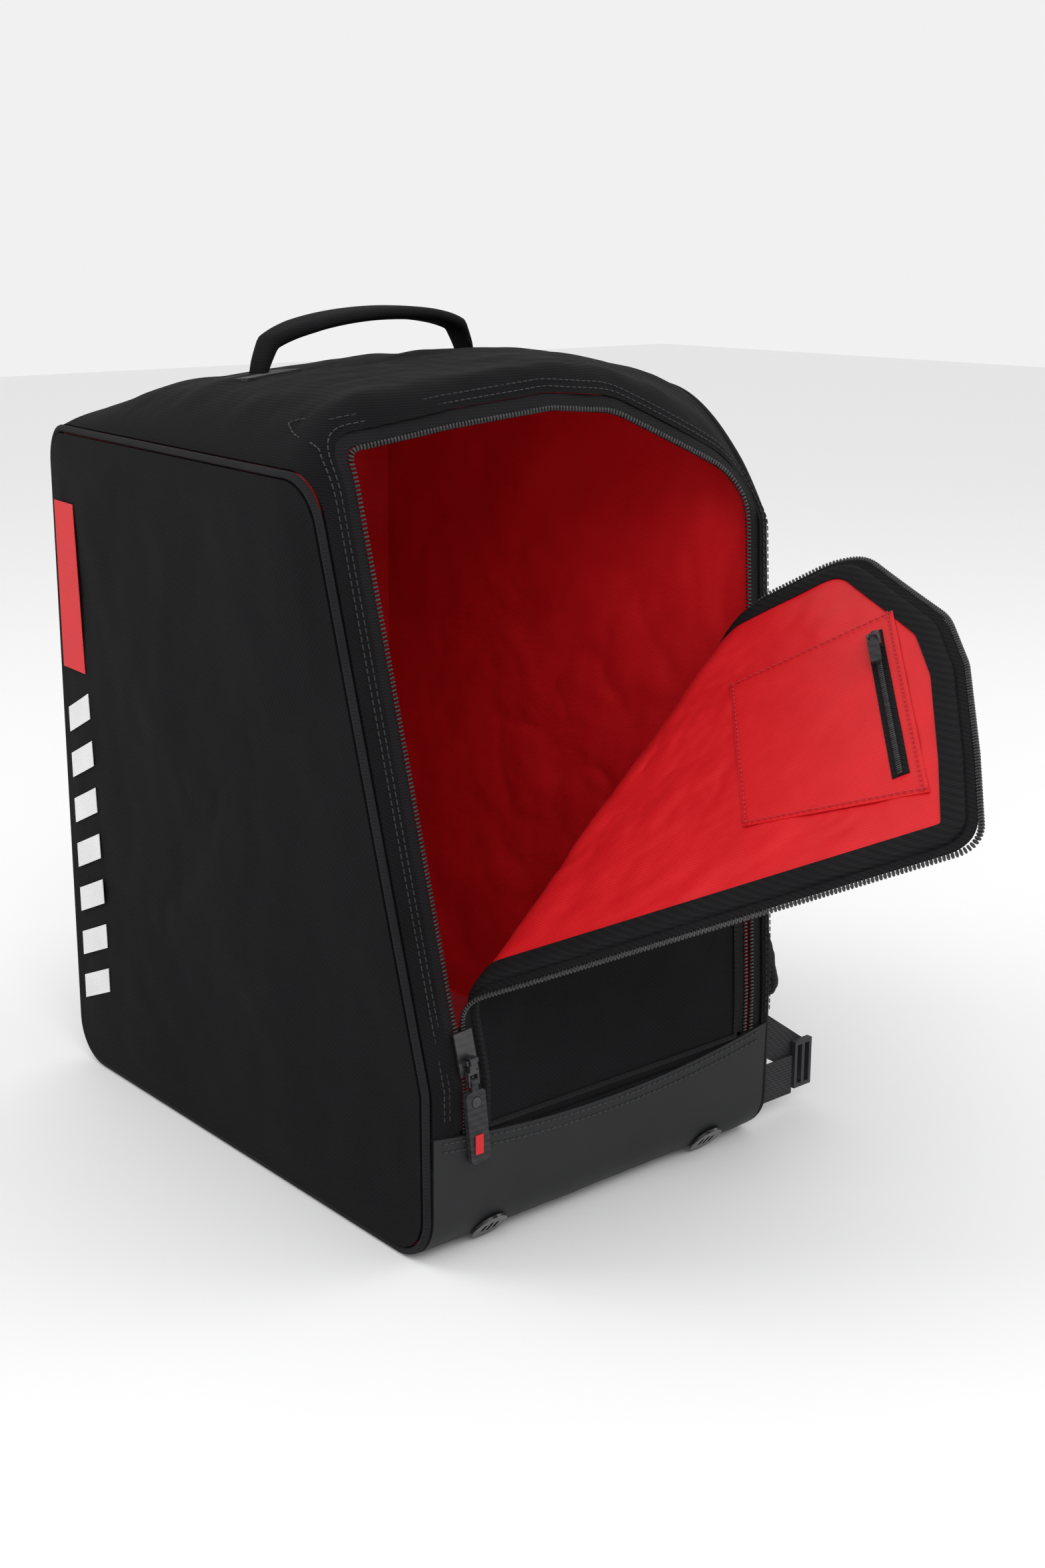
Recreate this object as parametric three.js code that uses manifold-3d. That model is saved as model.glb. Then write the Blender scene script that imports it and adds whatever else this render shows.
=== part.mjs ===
// Ski boot bag: an upright backpack-style boot carrier. A rubberised base, two piped side panels,
// a woven gusset, a U-shaped two-way zip and a front panel whose top corner is folded open.
// Frame: millimetres, +Z up, origin at the centre of the underside, -Y is the zip front,
// -X the plain side panel, +X the panel that rests on the wearer's back.
import * as THREE from 'three';
import { mergeVertices } from 'three/addons/utils/BufferGeometryUtils.js';
import Module from 'manifold-3d';

const wasm = await Module();
wasm.setup();

// ---- overall size ----
const BAG_WIDTH = 260;
const BAG_DEPTH = 380;
const BAG_HEIGHT = 418;
const BOTTOM_RADIUS = 28;
const TOP_RADIUS = 24;
const BASE_HEIGHT = 70;

// ---- soft shape of the filled bag ----
const KNEE_HEIGHT = 100;
const FRONT_LEAN = 45;
const REAR_LEAN = 8;
const MOUTH_SPLAY = 30;
const CROWN_RISE = 31;
const BACK_RISE = 25;
const CORNER_SAG = 70;
const CROWN_START = 300;

// ---- fabric layers ----
const FABRIC = 3;
const LINING = 1.2;
const LAYER_GAP = 0.6;
const SEAM_GAP = 0.35;
const PIPING_RADIUS = 2.2;
const SIDE_GAP = 2 * PIPING_RADIUS - 2.4;
const PIPING_SEAT = 2 * PIPING_RADIUS + 1.8;
const BACK_PAD = 6;
const BACK_PAD_MARGIN = 34;
const PAD_GAP = 1.4;
const BASE_BOARD = 2.5;
const BASE_BOARD_MARGIN = 13;

// ---- mouth and zip ----
const MOUTH_MARGIN_LEFT = 19;
const MOUTH_MARGIN_RIGHT = 8;
const MOUTH_DROP = 13;
const MOUTH_RADIUS_LEFT = 16;
const MOUTH_RADIUS_RIGHT = 48;
const TAPE_WIDTH = 6;
const COIL_WIDTH = 3;
const COIL_DEPTH = 3;
const COIL_GAP = 2;
const TAPE_DEPTH = 1.2;
const TAPE_THICKNESS = 0.9;
const ZIP_GAP = 0.3;
const BINDING_WIDTH = 11;
const FLAP_FABRIC = 2.2;
const FLAP_LINING = 0.9;

// ---- fold of the open corner ----
const CREASE_LEFT_HEIGHT = 140;
const CREASE_RIGHT_HEIGHT = 322;
const FOLD_ANGLE = 94;
const FOLD_CLEARANCE = 0.5;

// ---- zip sliders and pulls ----
const SLIDER_LENGTH = 24;
const SLIDER_WIDTH = 12;
const SLIDER_PLATE = 1.5;
const SLIDER_CLEARANCE = 0.6;
const LEFT_SLIDER_HEIGHT = 117;
const RIGHT_SLIDER_HEIGHT = 292;
const BAIL_RADIUS = 1.2;
const PIN_CLEARANCE = 0.4;
const LINK_LENGTH = 12.5;
const LINK_WIDTH = 7;
const LINK_THICKNESS = 2.4;
const EYE_RADIUS = 2.6;
const EYE_WIDTH = 4.2;
const PULL_LENGTH = 46;
const PULL_WIDTH = 13;
const PULL_THICKNESS = 3.2;
const RIVET_RADIUS = 3;
const RIVET_DROP = 11;
const POCKET_SLIDER_LENGTH = 11;
const POCKET_SLIDER_WIDTH = 7;
const POCKET_PULL_LENGTH = 22;
const POCKET_PULL_WIDTH = 6;

// ---- inner pocket on the front panel ----
const POCKET_WIDTH = 148;
const POCKET_HEIGHT = 96;
const POCKET_TOP = 404;
const POCKET_LEAN = 0.28;
const POCKET_THICKNESS = 1.6;
const POCKET_ZIP_MARGIN = 12;
const POCKET_TAPE_WIDTH = 9;
const POCKET_COIL_WIDTH = 3;
const POCKET_COIL_DEPTH = 1.5;

// ---- carry handle ----
const HANDLE_Y = 30;
const HANDLE_SPAN = 150;
const HANDLE_RISE = 20;
const HANDLE_WIDTH = 34;
const HANDLE_THICKNESS = 8;
const HANDLE_PIVOT_LIFT = 11;
const HANDLE_FOOT_WIDTH = 16;
const HANDLE_PATCH = 36;
const PATCH_THICKNESS = 1.4;

// ---- shoulder straps ----
const STRAP_WIDTH = 55;
const STRAP_THICKNESS = 9;
const STRAP_TOP = 372;
const STRAP_TOP_Y = 55;
const STRAP_BOTTOM = 62;
const STRAP_BOTTOM_Y = 160;
const WEB_WIDTH = 25;
const WEB_THICKNESS = 1.6;
const STRAP_STANDOFF = 6;
const ANCHOR_HEIGHT = 16;
const ANCHOR_LIP = 2;
const TAB_LENGTH = 40;
const BUCKLE_WIDTH = 15;
const BUCKLE_HEIGHT = 31;
const BUCKLE_THICKNESS = 4;
const BUCKLE_Z = 28;
const BUCKLE_Y = 172;

// ---- drain eyelets ----
const EYELET_RADIUS = 11;
const EYELET_BARREL = 7;
const EYELET_SPACING = 166;
const EYELET_ANGLE = 40;
const EYELET_FLANGE = 1.6;

const HALF_WIDTH = BAG_WIDTH / 2;
const FRONT_Y = -BAG_DEPTH / 2;
const REAR_Y = BAG_DEPTH / 2;
const RAD = Math.PI / 180;
const LEAN_SLOPE = FRONT_LEAN / (BAG_HEIGHT - KNEE_HEIGHT);
const SPLAY_SLOPE = MOUTH_SPLAY / (BAG_HEIGHT - KNEE_HEIGHT);

const model = new THREE.Group();

const clamp = (v, lo, hi) => Math.min(hi, Math.max(lo, v));
const vec = (x, y, z) => new THREE.Vector3(x, y, z);

// ---- finishes ----
const finishes = {
  woven: [0x17171a, 0.85, 0],
  base: [0x26272a, 0.6, 0],
  piping: [0x141416, 0.8, 0],
  nylon: [0xc41220, 0.45, 0],
  pocket: [0xcf1a26, 0.45, 0],
  binding: [0x101012, 0.9, 0],
  tape: [0x0e0e10, 0.85, 0],
  coil: [0x0a0a0b, 0.4, 0],
  slider: [0x161617, 0.35, 0.7],
  pull: [0x1b1b1d, 0.6, 0],
  rivet: [0x303033, 0.3, 0.8],
  eyelet: [0x0c0c0d, 0.25, 0],
  webbing: [0x121214, 0.8, 0],
  buckle: [0x111113, 0.45, 0],
  board: [0x2a1416, 0.8, 0],
};

// ---- solids ----
function solidOf(geometry) {
  const bare = geometry.clone();
  bare.deleteAttribute('normal');
  bare.deleteAttribute('uv');
  const merged = mergeVertices(bare, 1e-4);
  return new wasm.Manifold(new wasm.Mesh({
    numProp: 3,
    vertProperties: new Float32Array(merged.attributes.position.array),
    triVerts: new Uint32Array(merged.index.array),
  }));
}

function geometryOf(solid) {
  const mesh = solid.getMesh();
  const geometry = new THREE.BufferGeometry();
  geometry.setAttribute('position', new THREE.BufferAttribute(new Float32Array(mesh.vertProperties), 3));
  geometry.setIndex(new THREE.BufferAttribute(new Uint32Array(mesh.triVerts), 1));
  return geometry;
}

function addMesh(name, finish, solid, parent = model) {
  const [color, roughness, metalness] = finishes[finish];
  const material = new THREE.MeshStandardMaterial({ color, roughness, metalness });
  const geometry = solid.isBufferGeometry ? solid : geometryOf(solid);
  const mesh = new THREE.Mesh(geometry, material);
  mesh.name = name;
  parent.add(mesh);
  return mesh;
}

// A closed solid through equal-length loops; the first and the last loop close in a point.
function loftSolid(loops) {
  const count = loops[0].length;
  const positions = [];
  const faces = [];
  for (const loop of loops) {
    for (const p of loop) positions.push(p.x, p.y, p.z);
  }
  for (let j = 0; j + 1 < loops.length; j++) {
    for (let i = 0; i < count; i++) {
      const n = (i + 1) % count;
      const [a, b, c, d] = [j * count + i, j * count + n, (j + 1) * count + n, (j + 1) * count + i];
      if (j > 0) faces.push(a, c, b);
      if (j + 2 < loops.length) faces.push(a, d, c);
    }
  }
  const geometry = new THREE.BufferGeometry();
  geometry.setAttribute('position', new THREE.Float32BufferAttribute(positions, 3));
  geometry.setIndex(faces);
  return solidOf(geometry);
}

function boxSolid(low, high) {
  const geometry = new THREE.BoxGeometry(high[0] - low[0], high[1] - low[1], high[2] - low[2]);
  geometry.translate((low[0] + high[0]) / 2, (low[1] + high[1]) / 2, (low[2] + high[2]) / 2);
  return solidOf(geometry);
}

// A box or cylinder given in a local frame and moved by a matrix.
function placed(geometry, matrix) {
  const copy = geometry.clone();
  copy.applyMatrix4(matrix);
  return solidOf(copy);
}

// An outline in X and Z swept along Y.
function prismAlongY(points, yLow, yHigh) {
  const shape = new THREE.Shape(points.map(([x, z]) => new THREE.Vector2(x, z)));
  const geometry = new THREE.ExtrudeGeometry(shape, { depth: yHigh - yLow, bevelEnabled: false });
  geometry.rotateX(Math.PI / 2);
  geometry.translate(0, yHigh, 0);
  return solidOf(geometry);
}

// ---- the bag's outer form ----
const frontLevels = [0.16, 0.55, 1].map((t) => BOTTOM_RADIUS + t * (KNEE_HEIGHT - BOTTOM_RADIUS));
const upperLevels = [0.25, 0.5, 0.68, 0.8, 0.9];

function outline(inset) {
  const points = [];
  const bottom = Math.max(BOTTOM_RADIUS - inset, 1);
  const top = Math.max(TOP_RADIUS - inset, 1);
  const front = FRONT_Y + inset;
  const rear = REAR_Y - inset;
  const ceiling = BAG_HEIGHT - inset;
  const arc = (y, z, radius, from, steps = 3) => {
    for (let i = 0; i <= steps; i++) {
      const a = (from - (90 * i) / steps) * RAD;
      points.push([y + radius * Math.cos(a), z + radius * Math.sin(a)]);
    }
  };
  const run = (from, to, parts) => {
    for (let i = 1; i < parts; i++) {
      points.push([from[0] + ((to[0] - from[0]) * i) / parts, from[1] + ((to[1] - from[1]) * i) / parts]);
    }
  };
  arc(front + bottom, inset + bottom, bottom, 270);
  for (const z of frontLevels) points.push([front, z]);
  const upper = BAG_HEIGHT - TOP_RADIUS - KNEE_HEIGHT;
  for (const t of upperLevels) points.push([front, KNEE_HEIGHT + t * upper]);
  arc(front + top, ceiling - top, top, 180);
  run([front + top, ceiling], [rear - top, ceiling], 8);
  arc(rear - top, ceiling - top, top, 90);
  run([rear, ceiling - top], [rear, inset + bottom], 4);
  arc(rear - bottom, inset + bottom, bottom, 0);
  run([rear - bottom, inset], [front + bottom, inset], 2);
  return points;
}

// How much the top is lifted above the flat panel height, u running -1..1 across the bag.
function crown(u, y) {
  const back = (y - FRONT_Y) / BAG_DEPTH;
  const edge = u < 0 ? Math.abs(u) ** 8 : u ** 2.2;
  const rise = CROWN_RISE * (1 - back ** 3) * (1 - edge);
  const nearFront = clamp((FRONT_Y + 90 - y) / 90, 0, 1) ** 2;
  const sag = CORNER_SAG * nearFront * Math.max(0, u) ** 1.8;
  return BACK_RISE * (u + 1) / 2 + rise - sag;
}

// The width grows towards the top of the open front.
function halfWidthAt(y, z) {
  const forward = clamp((REAR_Y - y) / (BAG_DEPTH - 30), 0, 1);
  return HALF_WIDTH + SPLAY_SLOPE * Math.max(0, z - KNEE_HEIGHT) * forward;
}

function leanAt(y, z) {
  const forward = clamp((REAR_Y - y) / (BAG_DEPTH - 30), 0, 1);
  const rearward = clamp((y - REAR_Y + 90) / 90, 0, 1);
  return LEAN_SLOPE * Math.max(0, z - KNEE_HEIGHT) * forward - (REAR_LEAN * rearward * z) / BAG_HEIGHT;
}

// u is the place across the bag; with an edge inset the point sits that far in from the side.
function skinPoint(y, z, u, inset, edgeInset = null) {
  const lift = clamp((z + inset - CROWN_START) / (BAG_HEIGHT - CROWN_START), 0, 1) ** 2;
  const top = z + crown(u, y) * lift;
  const half = halfWidthAt(y, top);
  const x = edgeInset === null ? u * half : Math.sign(u) * (half - edgeInset);
  return vec(x, y + leanAt(y, top), top);
}

const stations = [0, 0.25, 0.46, 0.64, 0.78, 0.88, 0.935];
const edgeShare = (edgeInset) => 1 - Math.max(0, edgeInset) / HALF_WIDTH;
const capRings = [0, 0.4, 0.75];

function capLoops(side, inset, edgeInset) {
  const ring = outline(inset);
  const cy = 0;
  const cz = BAG_HEIGHT / 2;
  return capRings.map((k) => ring.map(([y, z]) => skinPoint(
    cy + (y - cy) * k, cz + (z - cz) * k, side * edgeShare(edgeInset), inset, edgeInset)));
}

// The filled outer form, shrunk by inset around the gusset and by edgeInset at both sides.
function form(inset, edgeInset) {
  const ring = outline(inset);
  const loop = (u, edge = null) => ring.map(([y, z]) => skinPoint(y, z, u, inset, edge));
  const half = [...stations.slice(1)];
  const edges = edgeInset < PIPING_SEAT ? [PIPING_SEAT, edgeInset] : [edgeInset];
  const left = [
    ...capLoops(-1, inset, edgeInset),
    ...[...edges].reverse().map((e) => loop(-edgeShare(e), e)),
    ...[...half].reverse().map((u) => loop(-u)),
  ];
  const right = [
    ...half.map((u) => loop(u)),
    ...edges.map((e) => loop(edgeShare(e), e)),
    ...capLoops(1, inset, edgeInset).reverse(),
  ];
  return loftSolid([...left, loop(0), ...right]);
}

// One side panel: a plate that follows the splayed outline.
function sidePlate(side, inset, outer, inner) {
  const ring = outline(inset);
  const rim = (edge) => ring.map(([y, z]) => skinPoint(y, z, side * edgeShare(outer), inset, edge));
  const face = (edge) => capRings.map((k) => ring.map(([y, z]) => skinPoint(
    y * k, BAG_HEIGHT / 2 + (z - BAG_HEIGHT / 2) * k, side * edgeShare(outer), inset, edge)));
  const [low, high] = side < 0 ? [outer, inner] : [inner, outer];
  return loftSolid([...face(low), rim(low), rim(high), ...face(high).reverse()]);
}

function shell(inset, thickness) {
  return form(inset, PIPING_SEAT).subtract(form(inset + thickness, -1));
}

// ---- mouth outline, in X and Z, drawn in from the fabric edge ----
function frontTop(x, z = BAG_HEIGHT) {
  const half = halfWidthAt(FRONT_Y, z);
  return BAG_HEIGHT + crown(clamp(x / half, -1, 1), FRONT_Y + TOP_RADIUS / 2) - MOUTH_DROP;
}

function sideEdge(side, z) {
  const margin = side < 0 ? MOUTH_MARGIN_LEFT : MOUTH_MARGIN_RIGHT;
  return side * (halfWidthAt(FRONT_Y, z) - margin);
}

function mouthCorners() {
  const topLeft = frontTop(sideEdge(-1, BAG_HEIGHT) + MOUTH_RADIUS_LEFT);
  const topRight = frontTop(sideEdge(1, BAG_HEIGHT) * 0.78) - MOUTH_DROP;
  const across = [-0.45, 0, 0.3].map((t) => {
    const x = t * sideEdge(1, BAG_HEIGHT);
    return [x, frontTop(x), 60];
  });
  return [
    [sideEdge(-1, 0), -40, 0],
    [sideEdge(-1, KNEE_HEIGHT), KNEE_HEIGHT, 0],
    [sideEdge(-1, topLeft), topLeft, MOUTH_RADIUS_LEFT],
    ...across,
    [sideEdge(1, topRight), topRight, MOUTH_RADIUS_RIGHT],
    [sideEdge(1, KNEE_HEIGHT), KNEE_HEIGHT, 0],
    [sideEdge(1, 0), -40, 0],
  ];
}

// Moves every edge inwards by the inset and rounds the corners.
function insetRounded(corners, inset, steps = 5) {
  const count = corners.length;
  const lines = corners.map(([x, z], i) => {
    const [nx, nz] = corners[(i + 1) % count];
    const d = new THREE.Vector2(nx - x, nz - z).normalize();
    return { p: new THREE.Vector2(x + d.y * inset, z - d.x * inset), d };
  });
  const meet = (a, b) => {
    const cross = a.d.x * b.d.y - a.d.y * b.d.x;
    const diff = b.p.clone().sub(a.p);
    const t = (diff.x * b.d.y - diff.y * b.d.x) / cross;
    return a.p.clone().addScaledVector(a.d, t);
  };
  const points = [];
  for (let i = 0; i < count; i++) {
    const before = lines[(i + count - 1) % count];
    const after = lines[i];
    const corner = meet(before, after);
    const radius = corners[i][2] - inset;
    const turn = Math.acos(clamp(before.d.dot(after.d), -1, 1));
    if (radius < 1 || turn < 0.01) {
      points.push([corner.x, corner.y]);
      continue;
    }
    const cut = radius * Math.tan(turn / 2);
    const start = corner.clone().addScaledVector(before.d, -cut);
    const end = corner.clone().addScaledVector(after.d, cut);
    for (let k = 0; k <= steps; k++) {
      const t = k / steps;
      const a = start.clone().lerp(corner, t);
      const b = corner.clone().lerp(end, t);
      a.lerp(b, t);
      points.push([a.x, a.y]);
    }
  }
  return points;
}

const CUT_FRONT = FRONT_Y - 40;
const CUT_BACK = FRONT_Y + FRONT_LEAN + 45;

function mouthPrism(inset) {
  return prismAlongY(insetRounded(mouthCorners(), inset), CUT_FRONT, CUT_BACK);
}

function mouthBand(from, to) {
  const outer = prismAlongY(insetRounded(mouthCorners(), from), CUT_FRONT, CUT_BACK);
  const inner = prismAlongY(insetRounded(mouthCorners(), to), CUT_FRONT - 1, CUT_BACK + 1);
  return outer.subtract(inner);
}

// Insets of the zip parts, counted in from the fabric edge of the mouth.
const BAG_COIL = ZIP_GAP + TAPE_WIDTH + ZIP_GAP;
const CHAIN_CENTRE = BAG_COIL + COIL_WIDTH + COIL_GAP / 2;
const FLAP_COIL = CHAIN_CENTRE + COIL_GAP / 2;
const FLAP_TAPE = FLAP_COIL + COIL_WIDTH + ZIP_GAP;
const FLAP_EDGE = FLAP_TAPE + TAPE_WIDTH + ZIP_GAP;

// ---- crease of the folded corner ----
function frontPoint(x, z) {
  return vec(x, FRONT_Y + LEAN_SLOPE * Math.max(0, z - KNEE_HEIGHT), z);
}

const creaseLeft = frontPoint(sideEdge(-1, CREASE_LEFT_HEIGHT) + CHAIN_CENTRE, CREASE_LEFT_HEIGHT);
const creaseRight = frontPoint(sideEdge(1, CREASE_RIGHT_HEIGHT) - CHAIN_CENTRE, CREASE_RIGHT_HEIGHT);
const creaseAxis = creaseRight.clone().sub(creaseLeft).normalize();
const faceNormal = vec(0, -1, LEAN_SLOPE).normalize();
const creasePoint = creaseLeft.clone().addScaledVector(faceNormal, FOLD_CLEARANCE);
const creaseUp = faceNormal.clone().cross(creaseAxis).normalize();

// Everything on the upper (+1) or the lower (-1) side of the crease.
function creaseSide(side) {
  const size = 900;
  const shift = (size / 2 + FOLD_CLEARANCE / 2) * side;
  const up = creaseUp.z > 0 ? creaseUp : creaseUp.clone().negate();
  const basis = new THREE.Matrix4().makeBasis(creaseAxis, up, creaseAxis.clone().cross(up));
  const centre = creasePoint.clone().addScaledVector(creaseAxis, 150).addScaledVector(up, shift);
  basis.setPosition(centre);
  return placed(new THREE.BoxGeometry(size, size, size), basis);
}

const foldMatrix = new THREE.Matrix4()
  .makeTranslation(creasePoint.x, creasePoint.y, creasePoint.z)
  .multiply(new THREE.Matrix4().makeRotationAxis(creaseAxis, FOLD_ANGLE * RAD))
  .multiply(new THREE.Matrix4().makeTranslation(-creasePoint.x, -creasePoint.y, -creasePoint.z));

// ---- bag body ----
const far = 900;
const aboveBase = BASE_HEIGHT + SEAM_GAP;
const topSeamY = REAR_Y - TOP_RADIUS - 8;
const stripTop = BAG_HEIGHT - TOP_RADIUS - 8;
const gusset = shell(0, FABRIC).subtract(mouthPrism(0));

function eyeletMatrix(side) {
  const a = EYELET_ANGLE * RAD;
  const normal = vec(0, -Math.cos(a), -Math.sin(a));
  const y = FRONT_Y + BOTTOM_RADIUS * (1 - Math.cos(a));
  const z = BOTTOM_RADIUS * (1 - Math.sin(a));
  const across = vec(1, 0, 0);
  const matrix = new THREE.Matrix4().makeBasis(across, normal, across.clone().cross(normal));
  matrix.setPosition(vec((side * EYELET_SPACING) / 2, y, z));
  return matrix;
}

function eyeletBore(side) {
  return placed(new THREE.CylinderGeometry(EYELET_BARREL + SEAM_GAP, EYELET_BARREL + SEAM_GAP, 40, 20),
    eyeletMatrix(side));
}

function addGusset() {
  const bores = eyeletBore(-1).add(eyeletBore(1));
  const whole = shell(0, FABRIC);
  const baseZone = boxSolid([-far, -far, -10], [far, far, BASE_HEIGHT]);
  addMesh('base_panel', 'base', whole.intersect(baseZone).subtract(bores));
  const rearZone = boxSolid([-far, topSeamY + SEAM_GAP, aboveBase], [far, far, far]);
  addMesh('rear_panel', 'woven', gusset.intersect(rearZone));
  const topZone = boxSolid([-far, -far, stripTop + SEAM_GAP], [far, topSeamY, far]);
  addMesh('top_panel', 'woven', gusset.intersect(topZone));
  const leftZone = boxSolid([-far, -far, aboveBase], [0, 0, stripTop]);
  addMesh('front_strip_left', 'woven', gusset.intersect(leftZone));
  const rightZone = boxSolid([0, -far, aboveBase], [far, 0, stripTop]);
  addMesh('front_strip_right', 'woven', gusset.intersect(rightZone));
}

function addSidePanels() {
  addMesh('side_panel', 'woven', sidePlate(-1, PIPING_SEAT, 0, FABRIC));
  addMesh('back_panel', 'woven', sidePlate(1, PIPING_SEAT, 0, FABRIC));
  const pad = sidePlate(1, PIPING_SEAT, -BACK_PAD - PAD_GAP, -PAD_GAP);
  addMesh('back_pad', 'woven', pad.intersect(form(BACK_PAD_MARGIN, -4 * BACK_PAD)));
}

// The piping cord runs round the whole edge of a side panel.
function pipingLoop(side) {
  const sides = 6;
  const centre = outline(PIPING_RADIUS + 0.2).map(([y, z]) => skinPoint(
    y, z, side * edgeShare(PIPING_RADIUS), PIPING_RADIUS, PIPING_RADIUS + 0.2));
  const positions = [];
  const faces = [];
  const count = centre.length;
  centre.forEach((p, i) => {
    const along = centre[(i + 1) % count].clone().sub(centre[(i + count - 1) % count]).normalize();
    const across = vec(1, 0, 0).addScaledVector(along, -along.x).normalize();
    const up = along.clone().cross(across).normalize();
    for (let k = 0; k < sides; k++) {
      const a = (2 * Math.PI * (k + 0.5)) / sides;
      const q = p.clone().addScaledVector(across, PIPING_RADIUS * Math.cos(a))
        .addScaledVector(up, PIPING_RADIUS * Math.sin(a));
      positions.push(q.x, q.y, q.z);
    }
  });
  for (let i = 0; i < count; i++) {
    for (let k = 0; k < sides; k++) {
      const a = i * sides + k;
      const b = i * sides + ((k + 1) % sides);
      const c = ((i + 1) % count) * sides + ((k + 1) % sides);
      const d = ((i + 1) % count) * sides + k;
      faces.push(a, b, c, a, c, d);
    }
  }
  const geometry = new THREE.BufferGeometry();
  geometry.setAttribute('position', new THREE.Float32BufferAttribute(positions, 3));
  geometry.setIndex(faces);
  return geometry;
}

function addPiping() {
  addMesh('side_piping', 'piping', pipingLoop(-1));
  addMesh('back_piping', 'piping', pipingLoop(1));
}

const liningOuter = FABRIC + LAYER_GAP;
const liningInner = liningOuter + LINING;

function addLining() {
  const side = FABRIC + SIDE_GAP;
  const cup = form(liningOuter, side).subtract(form(liningInner, side + LINING));
  const bores = eyeletBore(-1).add(eyeletBore(1));
  addMesh('lining', 'nylon', cup.subtract(mouthPrism(0).intersect(
    boxSolid([-far, -far, aboveBase], [far, far, far]))).subtract(bores));
  const bottom = liningInner + SEAM_GAP;
  const margin = BASE_BOARD_MARGIN;
  addMesh('base_board', 'board', boxSolid(
    [-HALF_WIDTH + margin, FRONT_Y + BOTTOM_RADIUS + 2, bottom],
    [HALF_WIDTH - margin, REAR_Y - BOTTOM_RADIUS - 2, bottom + BASE_BOARD]));
}

const zipFoot = boxSolid([-far, -far, aboveBase + ZIP_GAP], [far, far, far]);

function addBagZip() {
  const tape = shell(TAPE_DEPTH, TAPE_THICKNESS).intersect(mouthBand(ZIP_GAP, ZIP_GAP + TAPE_WIDTH));
  addMesh('zip_tape_bag', 'tape', tape.intersect(zipFoot));
  const coil = shell(0, COIL_DEPTH).intersect(mouthBand(BAG_COIL, BAG_COIL + COIL_WIDTH));
  addMesh('zip_coil_bag', 'coil', coil.intersect(zipFoot));
}

function addEyelets() {
  for (const [name, side] of [['drain_eyelet_left', -1], ['drain_eyelet_right', 1]]) {
    const matrix = eyeletMatrix(side);
    const lift = (from, to, radius) => {
      const g = new THREE.CylinderGeometry(radius, radius, to - from, 24);
      g.translate(0, (from + to) / 2, 0);
      return placed(g, matrix);
    };
    let solid = lift(SEAM_GAP, SEAM_GAP + EYELET_FLANGE, EYELET_RADIUS);
    solid = solid.add(lift(-liningInner - 4, SEAM_GAP + 0.2, EYELET_BARREL));
    for (const offset of [-4, 0, 4]) {
      const slot = new THREE.BoxGeometry(2, 30, 9 - Math.abs(offset) / 2);
      slot.translate(offset, 0, 0);
      solid = solid.subtract(placed(slot, matrix));
    }
    addMesh(name, 'eyelet', solid);
  }
}

// ---- front panel ----
const frontLower = new THREE.Group();
const flapCorner = new THREE.Group();
const hinges = new THREE.Group();
model.add(frontLower, flapCorner, hinges);

function flapLayer(inset, thickness, zone) {
  return shell(inset, thickness).intersect(zone).intersect(zipFoot);
}

function splitAtCrease(solid) {
  const lower = solid.intersect(creaseSide(-1));
  const upper = solid.intersect(creaseSide(1)).transform(foldMatrix.elements);
  return { lower, upper };
}

function addFrontPanel() {
  const liningFrom = FLAP_FABRIC + SEAM_GAP;
  const hem = aboveBase + ZIP_GAP;
  const panel = splitAtCrease(flapLayer(0, FLAP_FABRIC, mouthPrism(FLAP_EDGE)));
  addMesh('front_panel_lower', 'woven', panel.lower, frontLower);
  addMesh('front_panel_corner', 'woven', panel.upper, flapCorner);
  const band = mouthBand(FLAP_EDGE, FLAP_EDGE + BINDING_WIDTH)
    .add(mouthPrism(FLAP_EDGE).intersect(boxSolid([-far, -far, 0], [far, far, hem + BINDING_WIDTH])));
  const binding = splitAtCrease(flapLayer(liningFrom, FLAP_LINING, band));
  addMesh('front_binding_lower', 'binding', binding.lower, frontLower);
  addMesh('front_binding_corner', 'binding', binding.upper, flapCorner);
  const inside = mouthPrism(FLAP_EDGE + BINDING_WIDTH + SEAM_GAP)
    .intersect(boxSolid([-far, -far, hem + BINDING_WIDTH + SEAM_GAP], [far, far, far]));
  const lining = splitAtCrease(flapLayer(liningFrom, FLAP_LINING, inside));
  addMesh('front_lining_lower', 'nylon', lining.lower, frontLower);
  addMesh('front_lining_corner', 'nylon', lining.upper, flapCorner);
}

function addFrontZip() {
  const halves = {
    left: boxSolid([-far, -far, 0], [0, far, far]),
    right: boxSolid([0, -far, 0], [far, far, far]),
  };
  const tapeZone = mouthBand(FLAP_TAPE, FLAP_TAPE + TAPE_WIDTH);
  const tape = splitAtCrease(flapLayer(TAPE_DEPTH, TAPE_THICKNESS, tapeZone));
  const coil = splitAtCrease(flapLayer(0, COIL_DEPTH, mouthBand(FLAP_COIL, FLAP_COIL + COIL_WIDTH)));
  addMesh('zip_tape_corner', 'tape', tape.upper, flapCorner);
  addMesh('zip_coil_corner', 'coil', coil.upper, flapCorner);
  for (const [name, zone] of Object.entries(halves)) {
    addMesh(`zip_tape_lower_${name}`, 'tape', tape.lower.intersect(zone), frontLower);
    addMesh(`zip_coil_lower_${name}`, 'coil', coil.lower.intersect(zone), frontLower);
  }
}

// ---- zip sliders, links and pulls ----
function chainPoint(side, z) {
  return frontPoint(sideEdge(side, z) - side * CHAIN_CENTRE, z);
}

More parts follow.
